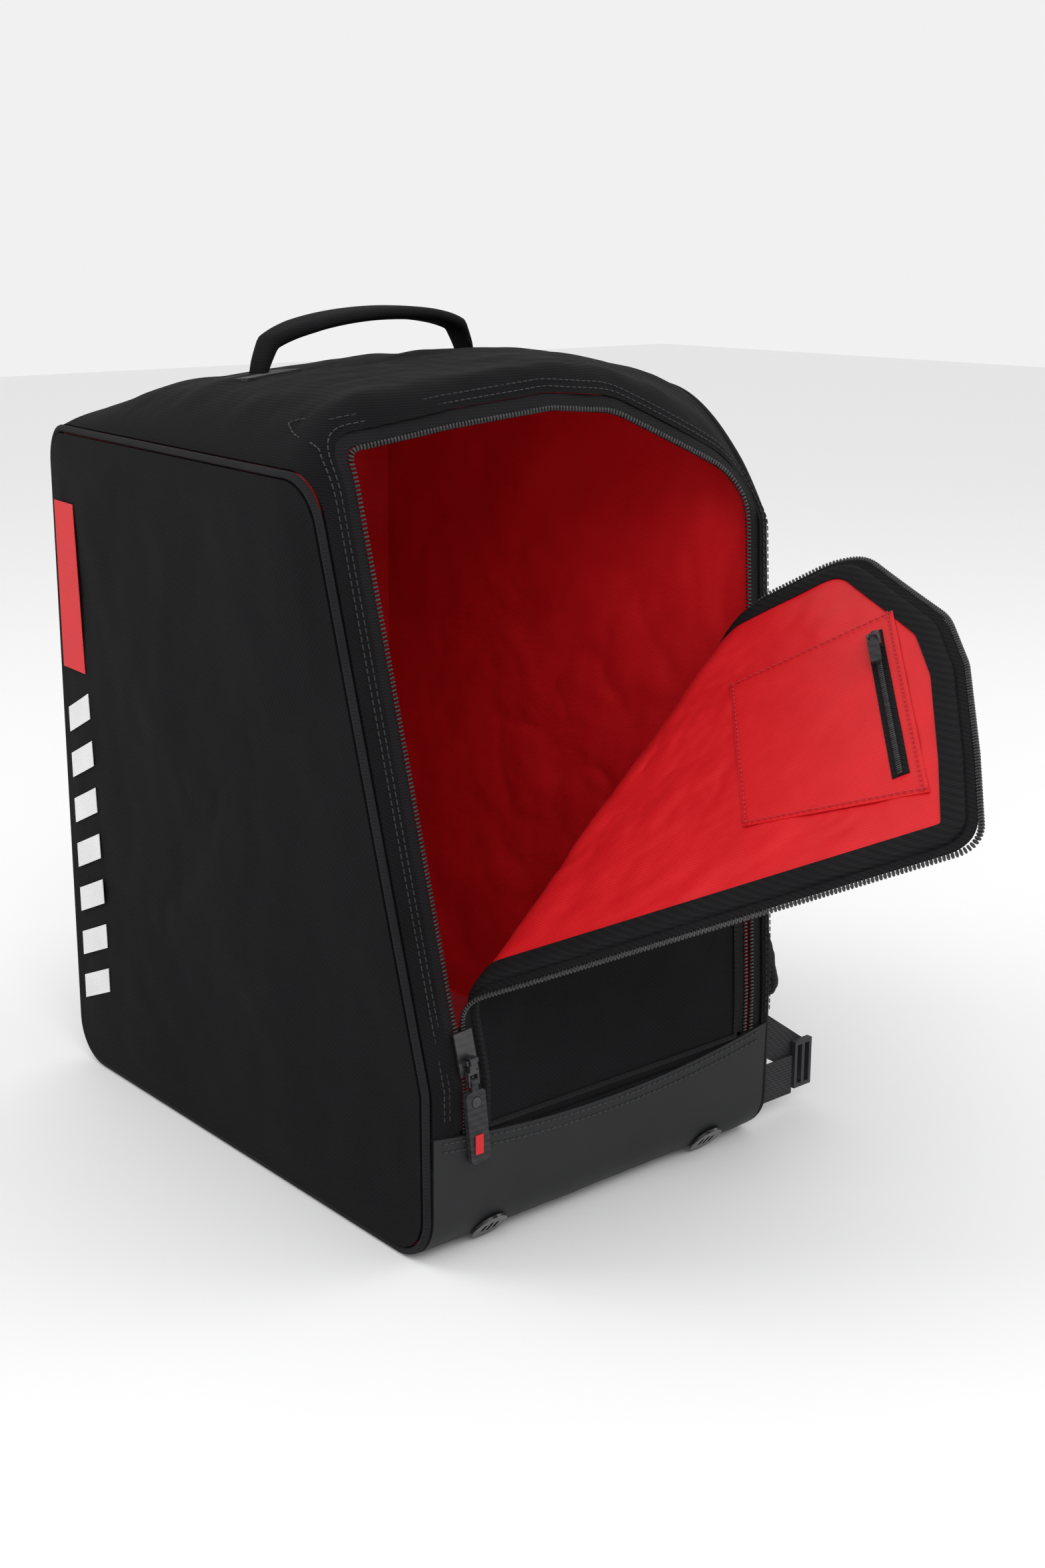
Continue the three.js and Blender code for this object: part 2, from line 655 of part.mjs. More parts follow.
// Local X runs across the zip, Y up along it and Z out of the bag.
function chainFrame(side, z) {
  const along = chainPoint(side, BAG_HEIGHT).sub(chainPoint(side, KNEE_HEIGHT)).normalize();
  const across = along.clone().cross(faceNormal).normalize();
  const out = across.clone().cross(along);
  return new THREE.Matrix4().makeBasis(across, along, out).setPosition(chainPoint(side, z));
}

function cylinderAcross(radius, length, y, z) {
  const geometry = new THREE.CylinderGeometry(radius, radius, length, 16);
  geometry.rotateZ(Math.PI / 2);
  geometry.translate(0, y, z);
  return solidOf(geometry);
}

function roundedPlate(width, length, thickness, top, radius) {
  const half = width / 2;
  const shape = new THREE.Shape();
  shape.moveTo(-half, top - length + radius);
  shape.absarc(-half + radius, top - length + radius, radius, Math.PI, 1.5 * Math.PI);
  shape.absarc(half - radius, top - length + radius, radius, 1.5 * Math.PI, 2 * Math.PI);
  shape.absarc(half - radius, top - radius, radius, 0, Math.PI / 2);
  shape.absarc(-half + radius, top - radius, radius, Math.PI / 2, Math.PI);
  const geometry = new THREE.ExtrudeGeometry(shape, {
    depth: thickness, bevelEnabled: false, curveSegments: 4,
  });
  geometry.translate(0, 0, -thickness / 2);
  return solidOf(geometry);
}

// Where the bail's bar lies above the zip's face.
const bailHeight = (plateTop, eye) => plateTop + eye + PIN_CLEARANCE;

function bail(plateTop, eye, eyeWidth, barRadius, y) {
  const height = bailHeight(plateTop, eye);
  const post = eyeWidth / 2 + PIN_CLEARANCE;
  const wall = barRadius * 1.2;
  let solid = cylinderAcross(barRadius, 2 * (post + wall), y, height);
  for (const side of [-1, 1]) {
    const low = Math.min(side * post, side * (post + wall));
    solid = solid.add(boxSolid([low, y - barRadius, plateTop - 0.2],
      [low + wall, y + barRadius, height + barRadius]));
  }
  return solid;
}

const MAIN_PLATE_TOP = SLIDER_CLEARANCE + SLIDER_PLATE;
const BAIL_Y = -SLIDER_LENGTH / 6;

// The back plate holds the panel's coil alone, so the slider leaves the bag's coil as the front folds.
function mainSliderSolid(side) {
  const half = SLIDER_WIDTH / 2;
  const end = SLIDER_LENGTH / 2;
  const web = COIL_GAP / 2 - SEAM_GAP;
  const back = -COIL_DEPTH - SLIDER_CLEARANCE;
  const [low, high] = side < 0 ? [-web, half] : [-half, web];
  return boxSolid([-half, -end, SLIDER_CLEARANCE], [half, end, MAIN_PLATE_TOP])
    .add(boxSolid([low, -end, back - SLIDER_PLATE], [high, end, back]))
    .add(boxSolid([-web, -end + 1, back - SLIDER_PLATE / 2],
      [web, end - 1, MAIN_PLATE_TOP - SLIDER_PLATE / 2]))
    .add(bail(MAIN_PLATE_TOP, EYE_RADIUS, EYE_WIDTH, BAIL_RADIUS, BAIL_Y));
}

// A metal link: an eye round the bail, and a lower bar that the soft pull hangs on.
function linkSolid() {
  const rail = LINK_WIDTH / 2;
  const half = LINK_THICKNESS / 2;
  const window = EYE_WIDTH / 2 + PIN_CLEARANCE;
  return cylinderAcross(EYE_RADIUS, EYE_WIDTH, 0, 0)
    .add(boxSolid([-EYE_WIDTH / 2, -LINK_LENGTH * 0.55, -half], [EYE_WIDTH / 2, -EYE_RADIUS * 0.8, half]))
    .subtract(cylinderAcross(BAIL_RADIUS + PIN_CLEARANCE, EYE_WIDTH + 2, 0, 0))
    .add(boxSolid([-rail, -LINK_LENGTH - half, -half], [rail, -LINK_LENGTH * 0.45, half]))
    .subtract(boxSolid([-window, -LINK_LENGTH - 3 * half, -2 * half], [window, -LINK_LENGTH * 0.6, 2 * half]))
    .add(cylinderAcross(BAIL_RADIUS, LINK_WIDTH, -LINK_LENGTH, 0));
}

function pullSolid() {
  const eye = PULL_THICKNESS / 2 + 0.7;
  const half = PULL_THICKNESS / 2;
  const neck = EYE_WIDTH / 2;
  const rivet = new THREE.CylinderGeometry(RIVET_RADIUS + SEAM_GAP, RIVET_RADIUS + SEAM_GAP, 20, 16);
  rivet.rotateX(Math.PI / 2);
  rivet.translate(0, -RIVET_DROP, 0);
  return cylinderAcross(eye, EYE_WIDTH, 0, 0)
    .add(boxSolid([-neck, -7, -half], [neck, -eye * 0.7, half]))
    .subtract(cylinderAcross(BAIL_RADIUS + PIN_CLEARANCE - 0.1, EYE_WIDTH + 2, 0, 0))
    .add(roundedPlate(PULL_WIDTH, PULL_LENGTH - 4, PULL_THICKNESS, -4.5, 3))
    .subtract(solidOf(rivet));
}

function rivetSolid() {
  const geometry = new THREE.CylinderGeometry(RIVET_RADIUS, RIVET_RADIUS, PULL_THICKNESS + 0.4, 16);
  geometry.rotateX(Math.PI / 2);
  geometry.translate(0, -RIVET_DROP, 0);
  return solidOf(geometry);
}

function addMainSlider(name, side, height, hang) {
  const slider = new THREE.Group();
  slider.name = `${name}_slider_frame`;
  slider.applyMatrix4(chainFrame(side, height));
  model.add(slider);
  addMesh(`${name}_slider`, 'slider', mainSliderSolid(side), slider);
  const link = new THREE.Group();
  link.name = `${name}_link_frame`;
  link.position.set(0, BAIL_Y, bailHeight(MAIN_PLATE_TOP, EYE_RADIUS));
  link.rotation.x = hang;
  slider.add(link);
  addMesh(`${name}_link`, 'slider', linkSolid(), link);
  const pull = new THREE.Group();
  pull.name = `${name}_pull_frame`;
  pull.position.set(0, -LINK_LENGTH, 0);
  link.add(pull);
  addMesh(`${name}_pull`, 'pull', pullSolid(), pull);
  addMesh(`${name}_rivet`, 'rivet', rivetSolid(), pull);
}

// ---- pocket on the inside of the front panel ----
const POCKET_DEPTH = FLAP_FABRIC + FLAP_LINING + 2 * SEAM_GAP;
const pocketFace = POCKET_DEPTH + POCKET_THICKNESS;

function pocketOutline(top, bottom, margin) {
  const left = -POCKET_WIDTH / 2 - 10 + margin;
  const right = POCKET_WIDTH / 2 - 10 - margin;
  const skew = POCKET_LEAN;
  return [
    [left + (POCKET_TOP - bottom) * skew, bottom],
    [left + (POCKET_TOP - top) * skew, top],
    [right - (POCKET_TOP - top) * skew * 0.2, top],
    [right - (POCKET_TOP - bottom) * skew * 0.2, bottom],
  ];
}

function pocketLayer(inset, thickness, points) {
  const solid = shell(inset, thickness).intersect(prismAlongY(points, CUT_FRONT, CUT_BACK));
  return solid.transform(foldMatrix.elements);
}

function addPocket() {
  const bottom = POCKET_TOP - POCKET_HEIGHT;
  addMesh('pocket_panel', 'pocket', pocketLayer(POCKET_DEPTH, POCKET_THICKNESS,
    pocketOutline(POCKET_TOP, bottom, 0)), flapCorner);
  const zipZ = POCKET_TOP - POCKET_ZIP_MARGIN;
  const band = (half, margin) => pocketOutline(zipZ + half, zipZ - half, margin);
  addMesh('pocket_zip_tape', 'tape', pocketLayer(pocketFace + SEAM_GAP, TAPE_THICKNESS,
    band(POCKET_TAPE_WIDTH / 2, 10)), flapCorner);
  addMesh('pocket_zip_coil', 'coil', pocketLayer(pocketFace + 2 * SEAM_GAP + TAPE_THICKNESS,
    POCKET_COIL_DEPTH, band(POCKET_COIL_WIDTH / 2, 12)), flapCorner);
}

// The pocket slider straddles its coil; local X is across the coil, Y along it, Z into the bag.
function addPocketSlider() {
  const zipZ = POCKET_TOP - POCKET_ZIP_MARGIN;
  const coilBack = pocketFace + 2 * SEAM_GAP + TAPE_THICKNESS + POCKET_COIL_DEPTH;
  const end = pocketOutline(zipZ, zipZ, 12)[2][0] - POCKET_SLIDER_LENGTH;
  const inward = faceNormal.clone().negate();
  const along = vec(1, 0, 0);
  const across = along.clone().cross(inward);
  const origin = frontPoint(end, zipZ).add(vec(0, (coilBack - 0.5) * inward.y, 0));
  const slider = new THREE.Group();
  slider.name = 'pocket_slider_frame';
  slider.applyMatrix4(foldMatrix.clone().multiply(
    new THREE.Matrix4().makeBasis(across, along, inward).setPosition(origin)));
  model.add(slider);
  const half = POCKET_SLIDER_WIDTH / 2;
  const reach = POCKET_SLIDER_LENGTH / 2;
  const leg = POCKET_COIL_WIDTH / 2 + SLIDER_CLEARANCE;
  const low = SLIDER_CLEARANCE + 0.9;
  const top = low + 1.2;
  const solid = boxSolid([-half, -reach, low], [half, reach, top])
    .add(boxSolid([-half, -reach, 0.2], [-leg, reach, low + 0.3]))
    .add(boxSolid([leg, -reach, 0.2], [half, reach, low + 0.3]))
    .add(bail(top, 1.6, 2.4, 0.7, 0));
  addMesh('pocket_slider', 'slider', solid, slider);
  const pull = new THREE.Group();
  pull.name = 'pocket_pull_frame';
  pull.position.set(0, 0, bailHeight(top, 1.6));
  slider.add(pull);
  const tab = cylinderAcross(1.6, 2.4, 0, 0)
    .add(boxSolid([-1.2, -5, -0.7], [1.2, -1.2, 0.7]))
    .subtract(cylinderAcross(0.7 + 0.3, 5, 0, 0))
    .add(roundedPlate(POCKET_PULL_WIDTH, POCKET_PULL_LENGTH - 4, 1.4, -4, 2));
  addMesh('pocket_pull', 'pull', tab, pull);
}

// ---- carry handle ----
function topHeight(x, y) {
  let height = 0;
  for (let i = 0; i < 4; i++) {
    const half = halfWidthAt(y, height || BAG_HEIGHT);
    height = BAG_HEIGHT + crown(x / half, y);
  }
  return height;
}

const handleFoot = (side) => topHeight((side * HANDLE_SPAN) / 2, HANDLE_Y) + HANDLE_PIVOT_LIFT;

function addHandle() {
  const steps = 14;
  const outer = [];
  const inner = [];
  for (let i = 0; i <= steps; i++) {
    const t = -1 + (2 * i) / steps;
    const bow = Math.max(0, 1 - t * t) ** 0.75;
    const base = THREE.MathUtils.lerp(handleFoot(-1), handleFoot(1), (t + 1) / 2);
    const x = (t * HANDLE_SPAN) / 2;
    const spread = HANDLE_THICKNESS * (0.5 + 0.35 * t * t);
    const tilt = Math.atan2(HANDLE_RISE * 1.6 * t, HANDLE_SPAN / 2);
    const z = base + HANDLE_RISE * bow;
    outer.push([x + spread * Math.sin(tilt), z + spread * Math.cos(tilt)]);
    inner.push([x - spread * Math.sin(tilt), Math.max(z - spread * Math.cos(tilt), base - 1)]);
  }
  const arch = prismAlongY([...outer, ...inner.reverse()].reverse(),
    HANDLE_Y - HANDLE_WIDTH / 2, HANDLE_Y + HANDLE_WIDTH / 2);
  const wide = HANDLE_WIDTH / 2;
  const narrow = HANDLE_FOOT_WIDTH / 2;
  const reach = HANDLE_SPAN / 2 + HANDLE_THICKNESS;
  const waist = HANDLE_SPAN * 0.3;
  const plan = new THREE.Shape([[-reach, -narrow], [-waist, -wide], [waist, -wide], [reach, -narrow],
    [reach, narrow], [waist, wide], [-waist, wide], [-reach, narrow],
  ].map(([x, y]) => new THREE.Vector2(x, y)));
  const taper = new THREE.ExtrudeGeometry(plan, { depth: BAG_HEIGHT, bevelEnabled: false });
  taper.translate(0, HANDLE_Y, BAG_HEIGHT / 2);
  addMesh('carry_handle', 'woven', arch.intersect(solidOf(taper)));
  const lifted = form(-SEAM_GAP - PATCH_THICKNESS, PIPING_SEAT).subtract(form(-SEAM_GAP, -1));
  for (const [name, side] of [['handle_patch_left', -1], ['handle_patch_right', 1]]) {
    const x = (side * HANDLE_SPAN) / 2;
    const zone = boxSolid([x - HANDLE_PATCH / 2, HANDLE_Y - HANDLE_PATCH / 2, BAG_HEIGHT - 30],
      [x + HANDLE_PATCH / 2, HANDLE_Y + HANDLE_PATCH / 2, far]);
    addMesh(name, 'webbing', lifted.intersect(zone));
  }
}

// ---- shoulder straps on the back panel ----
function backFace(y, z) {
  return vec(halfWidthAt(y, z) + BACK_PAD + PAD_GAP, y + leanAt(y, z), z);
}

function strapFrame(side) {
  const bottom = backFace(side * STRAP_BOTTOM_Y, STRAP_BOTTOM);
  const top = backFace(side * STRAP_TOP_Y, STRAP_TOP);
  const along = top.clone().sub(bottom);
  const length = along.length();
  along.normalize();
  const out = vec(1, 0, 0).addScaledVector(along, -along.x).normalize();
  const across = along.clone().cross(out);
  const matrix = new THREE.Matrix4().makeBasis(across, along, out).setPosition(top);
  return { matrix, length };
}

function addShoulderStrap(name, side) {
  const { matrix, length } = strapFrame(side);
  const strap = new THREE.Group();
  strap.name = `strap_${name}_frame`;
  strap.applyMatrix4(matrix);
  model.add(strap);
  const half = STRAP_WIDTH / 2;
  const low = STRAP_STANDOFF;
  const pad = roundedPlate(STRAP_WIDTH, length - 14, STRAP_THICKNESS, -2, 12);
  addMesh(`shoulder_strap_${name}`, 'woven', pad.translate([0, 0, low + STRAP_THICKNESS / 2]), strap);
  const block = boxSolid([-half, 1, -STRAP_STANDOFF], [half, 1 + ANCHOR_HEIGHT, low + ANCHOR_LIP]);
  const backing = sidePlate(1, PIPING_SEAT, -BACK_PAD - PAD_GAP - SEAM_GAP, FABRIC);
  addMesh(`strap_anchor_${name}`, 'webbing', block.transform(matrix.elements).subtract(backing));
}

function bandSolid(points, width, thickness) {
  const loops = points.map(([p, side, up]) => [
    p.clone().addScaledVector(up, width / 2).addScaledVector(side, thickness / 2),
    p.clone().addScaledVector(up, -width / 2).addScaledVector(side, thickness / 2),
    p.clone().addScaledVector(up, -width / 2).addScaledVector(side, -thickness / 2),
    p.clone().addScaledVector(up, width / 2).addScaledVector(side, -thickness / 2),
  ]);
  const middle = (loop) => {
    const c = loop.reduce((s, q) => s.add(q), vec(0, 0, 0)).multiplyScalar(1 / loop.length);
    return loop.map(() => c.clone());
  };
  const solid = loftSolid([middle(loops[0]), ...loops, middle(loops[loops.length - 1])]);
  return solid;
}

function addBuckle(name, side) {
  const y = side * BUCKLE_Y;
  const tabStart = HALF_WIDTH + SEAM_GAP;
  const tabEnd = tabStart + TAB_LENGTH;
  const flat = WEB_THICKNESS / 2;
  addMesh(`strap_tab_${name}`, 'webbing', boxSolid(
    [tabStart, y - flat, BUCKLE_Z - WEB_WIDTH / 2 - 6], [tabEnd, y + flat, BUCKLE_Z + WEB_WIDTH / 2 - 6]));
  const x = tabEnd + SEAM_GAP + BUCKLE_WIDTH / 2 + 1;
  const half = BUCKLE_THICKNESS / 2;
  let lock = boxSolid([x - BUCKLE_WIDTH / 2, y - half, BUCKLE_Z - BUCKLE_HEIGHT / 2],
    [x + BUCKLE_WIDTH / 2, y + half, BUCKLE_Z + BUCKLE_HEIGHT / 2]);
  for (const offset of [-1, 1]) {
    const centre = x + (offset * BUCKLE_WIDTH) / 4.6;
    lock = lock.subtract(boxSolid([centre - 2, y - 3 * half, BUCKLE_Z - WEB_WIDTH / 2 - 0.5],
      [centre + 2, y + 3 * half, BUCKLE_Z + WEB_WIDTH / 2 + 0.5]));
  }
  addMesh(`ladder_lock_${name}`, 'buckle', lock);
  const inner = -side;
  const bandY = y + inner * (half + flat + SEAM_GAP);
  const face = vec(0, -1, 0);
  const rise = vec(0.35, 0, 1).normalize();
  const from = vec(x + BUCKLE_WIDTH / 2 - 1, bandY, BUCKLE_Z);
  const to = vec(HALF_WIDTH + BACK_PAD + STRAP_THICKNESS / 2 + 6, bandY, STRAP_BOTTOM - 8);
  addMesh(`strap_web_${name}`, 'webbing', bandSolid([[from, face, vec(0, 0, 1)], [to, face, rise]],
    WEB_WIDTH, WEB_THICKNESS));
}

// Frames on the hinge lines of the front panel, its folded corner and the handle; local X is the axis.
function addHingeFrames() {
  const frames = {
    front_hinge: [vec(0, FRONT_Y - ZIP_GAP, aboveBase + ZIP_GAP / 2), vec(1, 0, 0)],
    corner_hinge: [creasePoint.clone().addScaledVector(creaseAxis, 100), creaseAxis],
    handle_hinge: [vec(0, HANDLE_Y, (handleFoot(-1) + handleFoot(1)) / 2),
      vec(HANDLE_SPAN, 0, handleFoot(1) - handleFoot(-1)).normalize()],
  };
  for (const [name, [point, axis]] of Object.entries(frames)) {
    const frame = new THREE.Group();
    frame.name = name;
    frame.position.copy(point);
    frame.quaternion.setFromUnitVectors(vec(1, 0, 0), axis);
    hinges.add(frame);
  }
}

addHingeFrames();
addGusset();
addSidePanels();
addPiping();
addLining();
addBagZip();
addEyelets();
addFrontPanel();
addFrontZip();
addMainSlider('left', -1, LEFT_SLIDER_HEIGHT, Math.atan(LEAN_SLOPE));
addMainSlider('right', 1, RIGHT_SLIDER_HEIGHT, 0);
addPocket();
addPocketSlider();
addHandle();
addShoulderStrap('front', -1);
addShoulderStrap('rear', 1);
addBuckle('front', -1);
addBuckle('rear', 1);

export default model;
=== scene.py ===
"""The looks of a ski boot bag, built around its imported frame.

Lengths are in metres. +Z is up, -Y is the zipped front and +X is the back panel.
"""

import logging
import math
from dataclasses import dataclass, field
from enum import Enum
from typing import Callable, Sequence

import bpy
import numpy as np
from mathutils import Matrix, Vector, noise


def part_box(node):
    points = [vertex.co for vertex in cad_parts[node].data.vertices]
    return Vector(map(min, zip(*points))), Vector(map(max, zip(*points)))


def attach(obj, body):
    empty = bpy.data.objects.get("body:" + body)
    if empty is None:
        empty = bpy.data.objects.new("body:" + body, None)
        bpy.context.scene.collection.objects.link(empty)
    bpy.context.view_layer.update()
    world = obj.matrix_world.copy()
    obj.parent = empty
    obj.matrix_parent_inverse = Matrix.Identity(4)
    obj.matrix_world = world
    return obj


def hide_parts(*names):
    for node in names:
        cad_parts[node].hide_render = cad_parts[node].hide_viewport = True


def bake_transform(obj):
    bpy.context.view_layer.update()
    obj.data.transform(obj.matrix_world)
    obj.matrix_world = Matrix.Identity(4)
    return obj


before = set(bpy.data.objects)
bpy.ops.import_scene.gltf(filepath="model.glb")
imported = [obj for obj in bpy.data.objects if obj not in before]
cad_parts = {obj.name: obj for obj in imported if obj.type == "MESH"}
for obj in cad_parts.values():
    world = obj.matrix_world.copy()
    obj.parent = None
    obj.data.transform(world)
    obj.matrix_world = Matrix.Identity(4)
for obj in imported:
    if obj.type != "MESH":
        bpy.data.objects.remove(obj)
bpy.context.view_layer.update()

logging.basicConfig(level=logging.INFO, format="%(message)s")
LOG = logging.getLogger("boot_bag")

MERGE = 1e-6
OUTLINE_STEPS = 2001
Place = Callable[[np.ndarray, np.ndarray], np.ndarray]


def unit(v: np.ndarray) -> np.ndarray:
    """Scales vectors to length one along the last axis."""
    return v / np.maximum(np.linalg.norm(v, axis=-1, keepdims=True), 1e-12)


@dataclass(frozen=True)
class BagForm:
    """The filled bag's outer form."""

    half_width: float = 0.130
    front: float = -0.190
    rear: float = 0.190
    height: float = 0.418
    bottom_radius: float = 0.028
    top_radius: float = 0.024
    knee: float = 0.100
    base: float = 0.070
    front_lean: float = 0.045
    rear_lean: float = 0.008
    splay: float = 0.030
    crown_rise: float = 0.031
    back_rise: float = 0.025
    corner_sag: float = 0.070
    crown_start: float = 0.300

    @property
    def slope(self) -> float:
        """How far the front face leans back for each metre of height."""
        return self.front_lean / (self.height - self.knee)

    def crown(self, u: np.ndarray, y: np.ndarray) -> np.ndarray:
        """How far the filled top stands above the flat height.

        Args:
            u: place across the bag, -1 to 1.
            y: place from front to rear.

        Returns:
            The lift in metres.
        """
        back = np.clip((y - self.front) / (self.rear - self.front), 0, 1)
        edge = np.where(u < 0, np.abs(u) ** 8, np.abs(u) ** 2.2)
        rise = self.crown_rise * (1 - back**3) * (1 - edge)
        near = np.clip((self.front + 0.09 - y) / 0.09, 0, 1) ** 2
        sag = self.corner_sag * near * np.maximum(0, u) ** 1.8
        return self.back_rise * (u + 1) / 2 + rise - sag

    def forward(self, y: np.ndarray) -> np.ndarray:
        """How much a place shares in the front's splay and lean."""
        return np.clip((self.rear - y) / (self.rear - self.front - 0.03), 0, 1)

    def half_at(self, y: np.ndarray, z: np.ndarray) -> np.ndarray:
        """Half the width at a place."""
        grow = self.splay / (self.height - self.knee)
        return self.half_width + grow * np.maximum(0, z - self.knee) * self.forward(y)

    def lean_at(self, y: np.ndarray, z: np.ndarray) -> np.ndarray:
        """How far a place is moved along Y."""
        rearward = np.clip((y - self.rear + 0.09) / 0.09, 0, 1)
        ahead = self.slope * np.maximum(0, z - self.knee) * self.forward(y)
        return ahead - self.rear_lean * rearward * z / self.height

    def skin(self, y: np.ndarray, z: np.ndarray, u: np.ndarray, inset: float,
             edge: float = 0.0) -> np.ndarray:
        """A point on the form.

        Args:
            y: place along the outline.
            z: height along the outline.
            u: place across, -1 to 1.
            inset: how far the outline was drawn in.
            edge: how far the ends are drawn in.

        Returns:
            Points with a last axis of three.
        """
        lift = np.clip((z + inset - self.crown_start) / (self.height - self.crown_start), 0, 1) ** 2
        top = z + self.crown(u, y) * lift
        x = u * (self.half_at(y, top) - edge)
        return np.stack([x, y + self.lean_at(y, top), top], axis=-1)

    def outline(self, inset: float, start: float, end: float, count: int) -> np.ndarray:
        """Evenly spaced points on the rounded outline in Y and Z.

        Args:
            inset: how far it is drawn in.
            start: where to begin, in turns of the whole outline from the middle of the underside.
            end: where to stop.
            count: how many points.

        Returns:
            An array of Y and Z pairs.
        """
        low, high = self.front + inset, self.rear - inset
        bottom, top = max(self.bottom_radius - inset, 0.001), max(self.top_radius - inset, 0.001)
        ceiling = self.height - inset
        path = [(0.0, inset)]
        corners = (
            (low + bottom, inset + bottom, bottom, 270),
            (low + top, ceiling - top, top, 180),
            (high - top, ceiling - top, top, 90),
            (high - bottom, inset + bottom, bottom, 0),
        )
        for cy, cz, radius, begin in corners:
            for step in range(17):
                a = math.radians(begin - 90 * step / 16)
                path.append((cy + radius * math.cos(a), cz + radius * math.sin(a)))
        path.append((0.0, inset))
        points = np.array(path)
        lengths = np.concatenate([[0], np.cumsum(np.linalg.norm(np.diff(points, axis=0), axis=1))])
        at = np.linspace(start, end, count) * lengths[-1]
        return np.stack([np.interp(at, lengths, points[:, 0]), np.interp(at, lengths, points[:, 1])], axis=1)

    def share_at(self, height: float, front: bool) -> float:
        """Where the outline passes a height, as a share of its length.

        Args:
            height: the height asked for.
            front: whether it is met on the front or on the rear.

        Returns:
            A share from 0 to 1.
        """
        points = self.outline(0, 0, 1, OUTLINE_STEPS)
        side = points[:, 0] < 0 if front else points[:, 0] > 0
        gap = np.where(side & (points[:, 1] > self.bottom_radius * 0.5), np.abs(points[:, 1] - height), 9.0)
        return float(np.argmin(gap)) / (OUTLINE_STEPS - 1)

    def share_at_depth(self, y: float) -> float:
        """Where the outline's top run passes a place along Y."""
        points = self.outline(0, 0, 1, OUTLINE_STEPS)
        gap = np.where(points[:, 1] > self.height * 0.9, np.abs(points[:, 0] - y), 9.0)
        return float(np.argmin(gap)) / (OUTLINE_STEPS - 1)

    def face(self, x: np.ndarray, z: np.ndarray, depth: float) -> np.ndarray:
        """Points on the front face, seen square on.

        Args:
            x: place across.
            z: height.
            depth: how far under the outer skin.

        Returns:
            Points with a last axis of three.
        """
        begin, stop = self.share_at(0.045, True), self.share_at_depth(self.front + 0.10)
        ring = self.outline(max(depth, 0), begin, stop, 120)
        y0, z0 = ring[:, 0][None, :], ring[:, 1][None, :]
        lift = np.clip((z0 + max(depth, 0) - self.crown_start) / (self.height - self.crown_start), 0, 1) ** 2
        flat = np.ravel(x)[:, None]
        top = np.broadcast_to(z0, (flat.shape[0], z0.shape[1]))
        for _ in range(3):
            u = np.clip(flat / self.half_at(y0, top), -1, 1)
            top = z0 + self.crown(u, np.broadcast_to(y0, top.shape)) * lift
        py = y0 + self.lean_at(y0, top)
        want = np.ravel(z)
        at = np.clip((top < want[:, None]).sum(axis=1), 1, top.shape[1] - 1)
        rows = np.arange(len(want))
        lower, upper = top[rows, at - 1], top[rows, at]
        t = np.clip((want - lower) / np.maximum(upper - lower, 1e-9), 0, 1)
        y = py[rows, at - 1] * (1 - t) + py[rows, at] * t
        y = y + min(depth, 0)
        return np.stack([np.ravel(x), y, want], axis=-1)


FORM = BagForm()


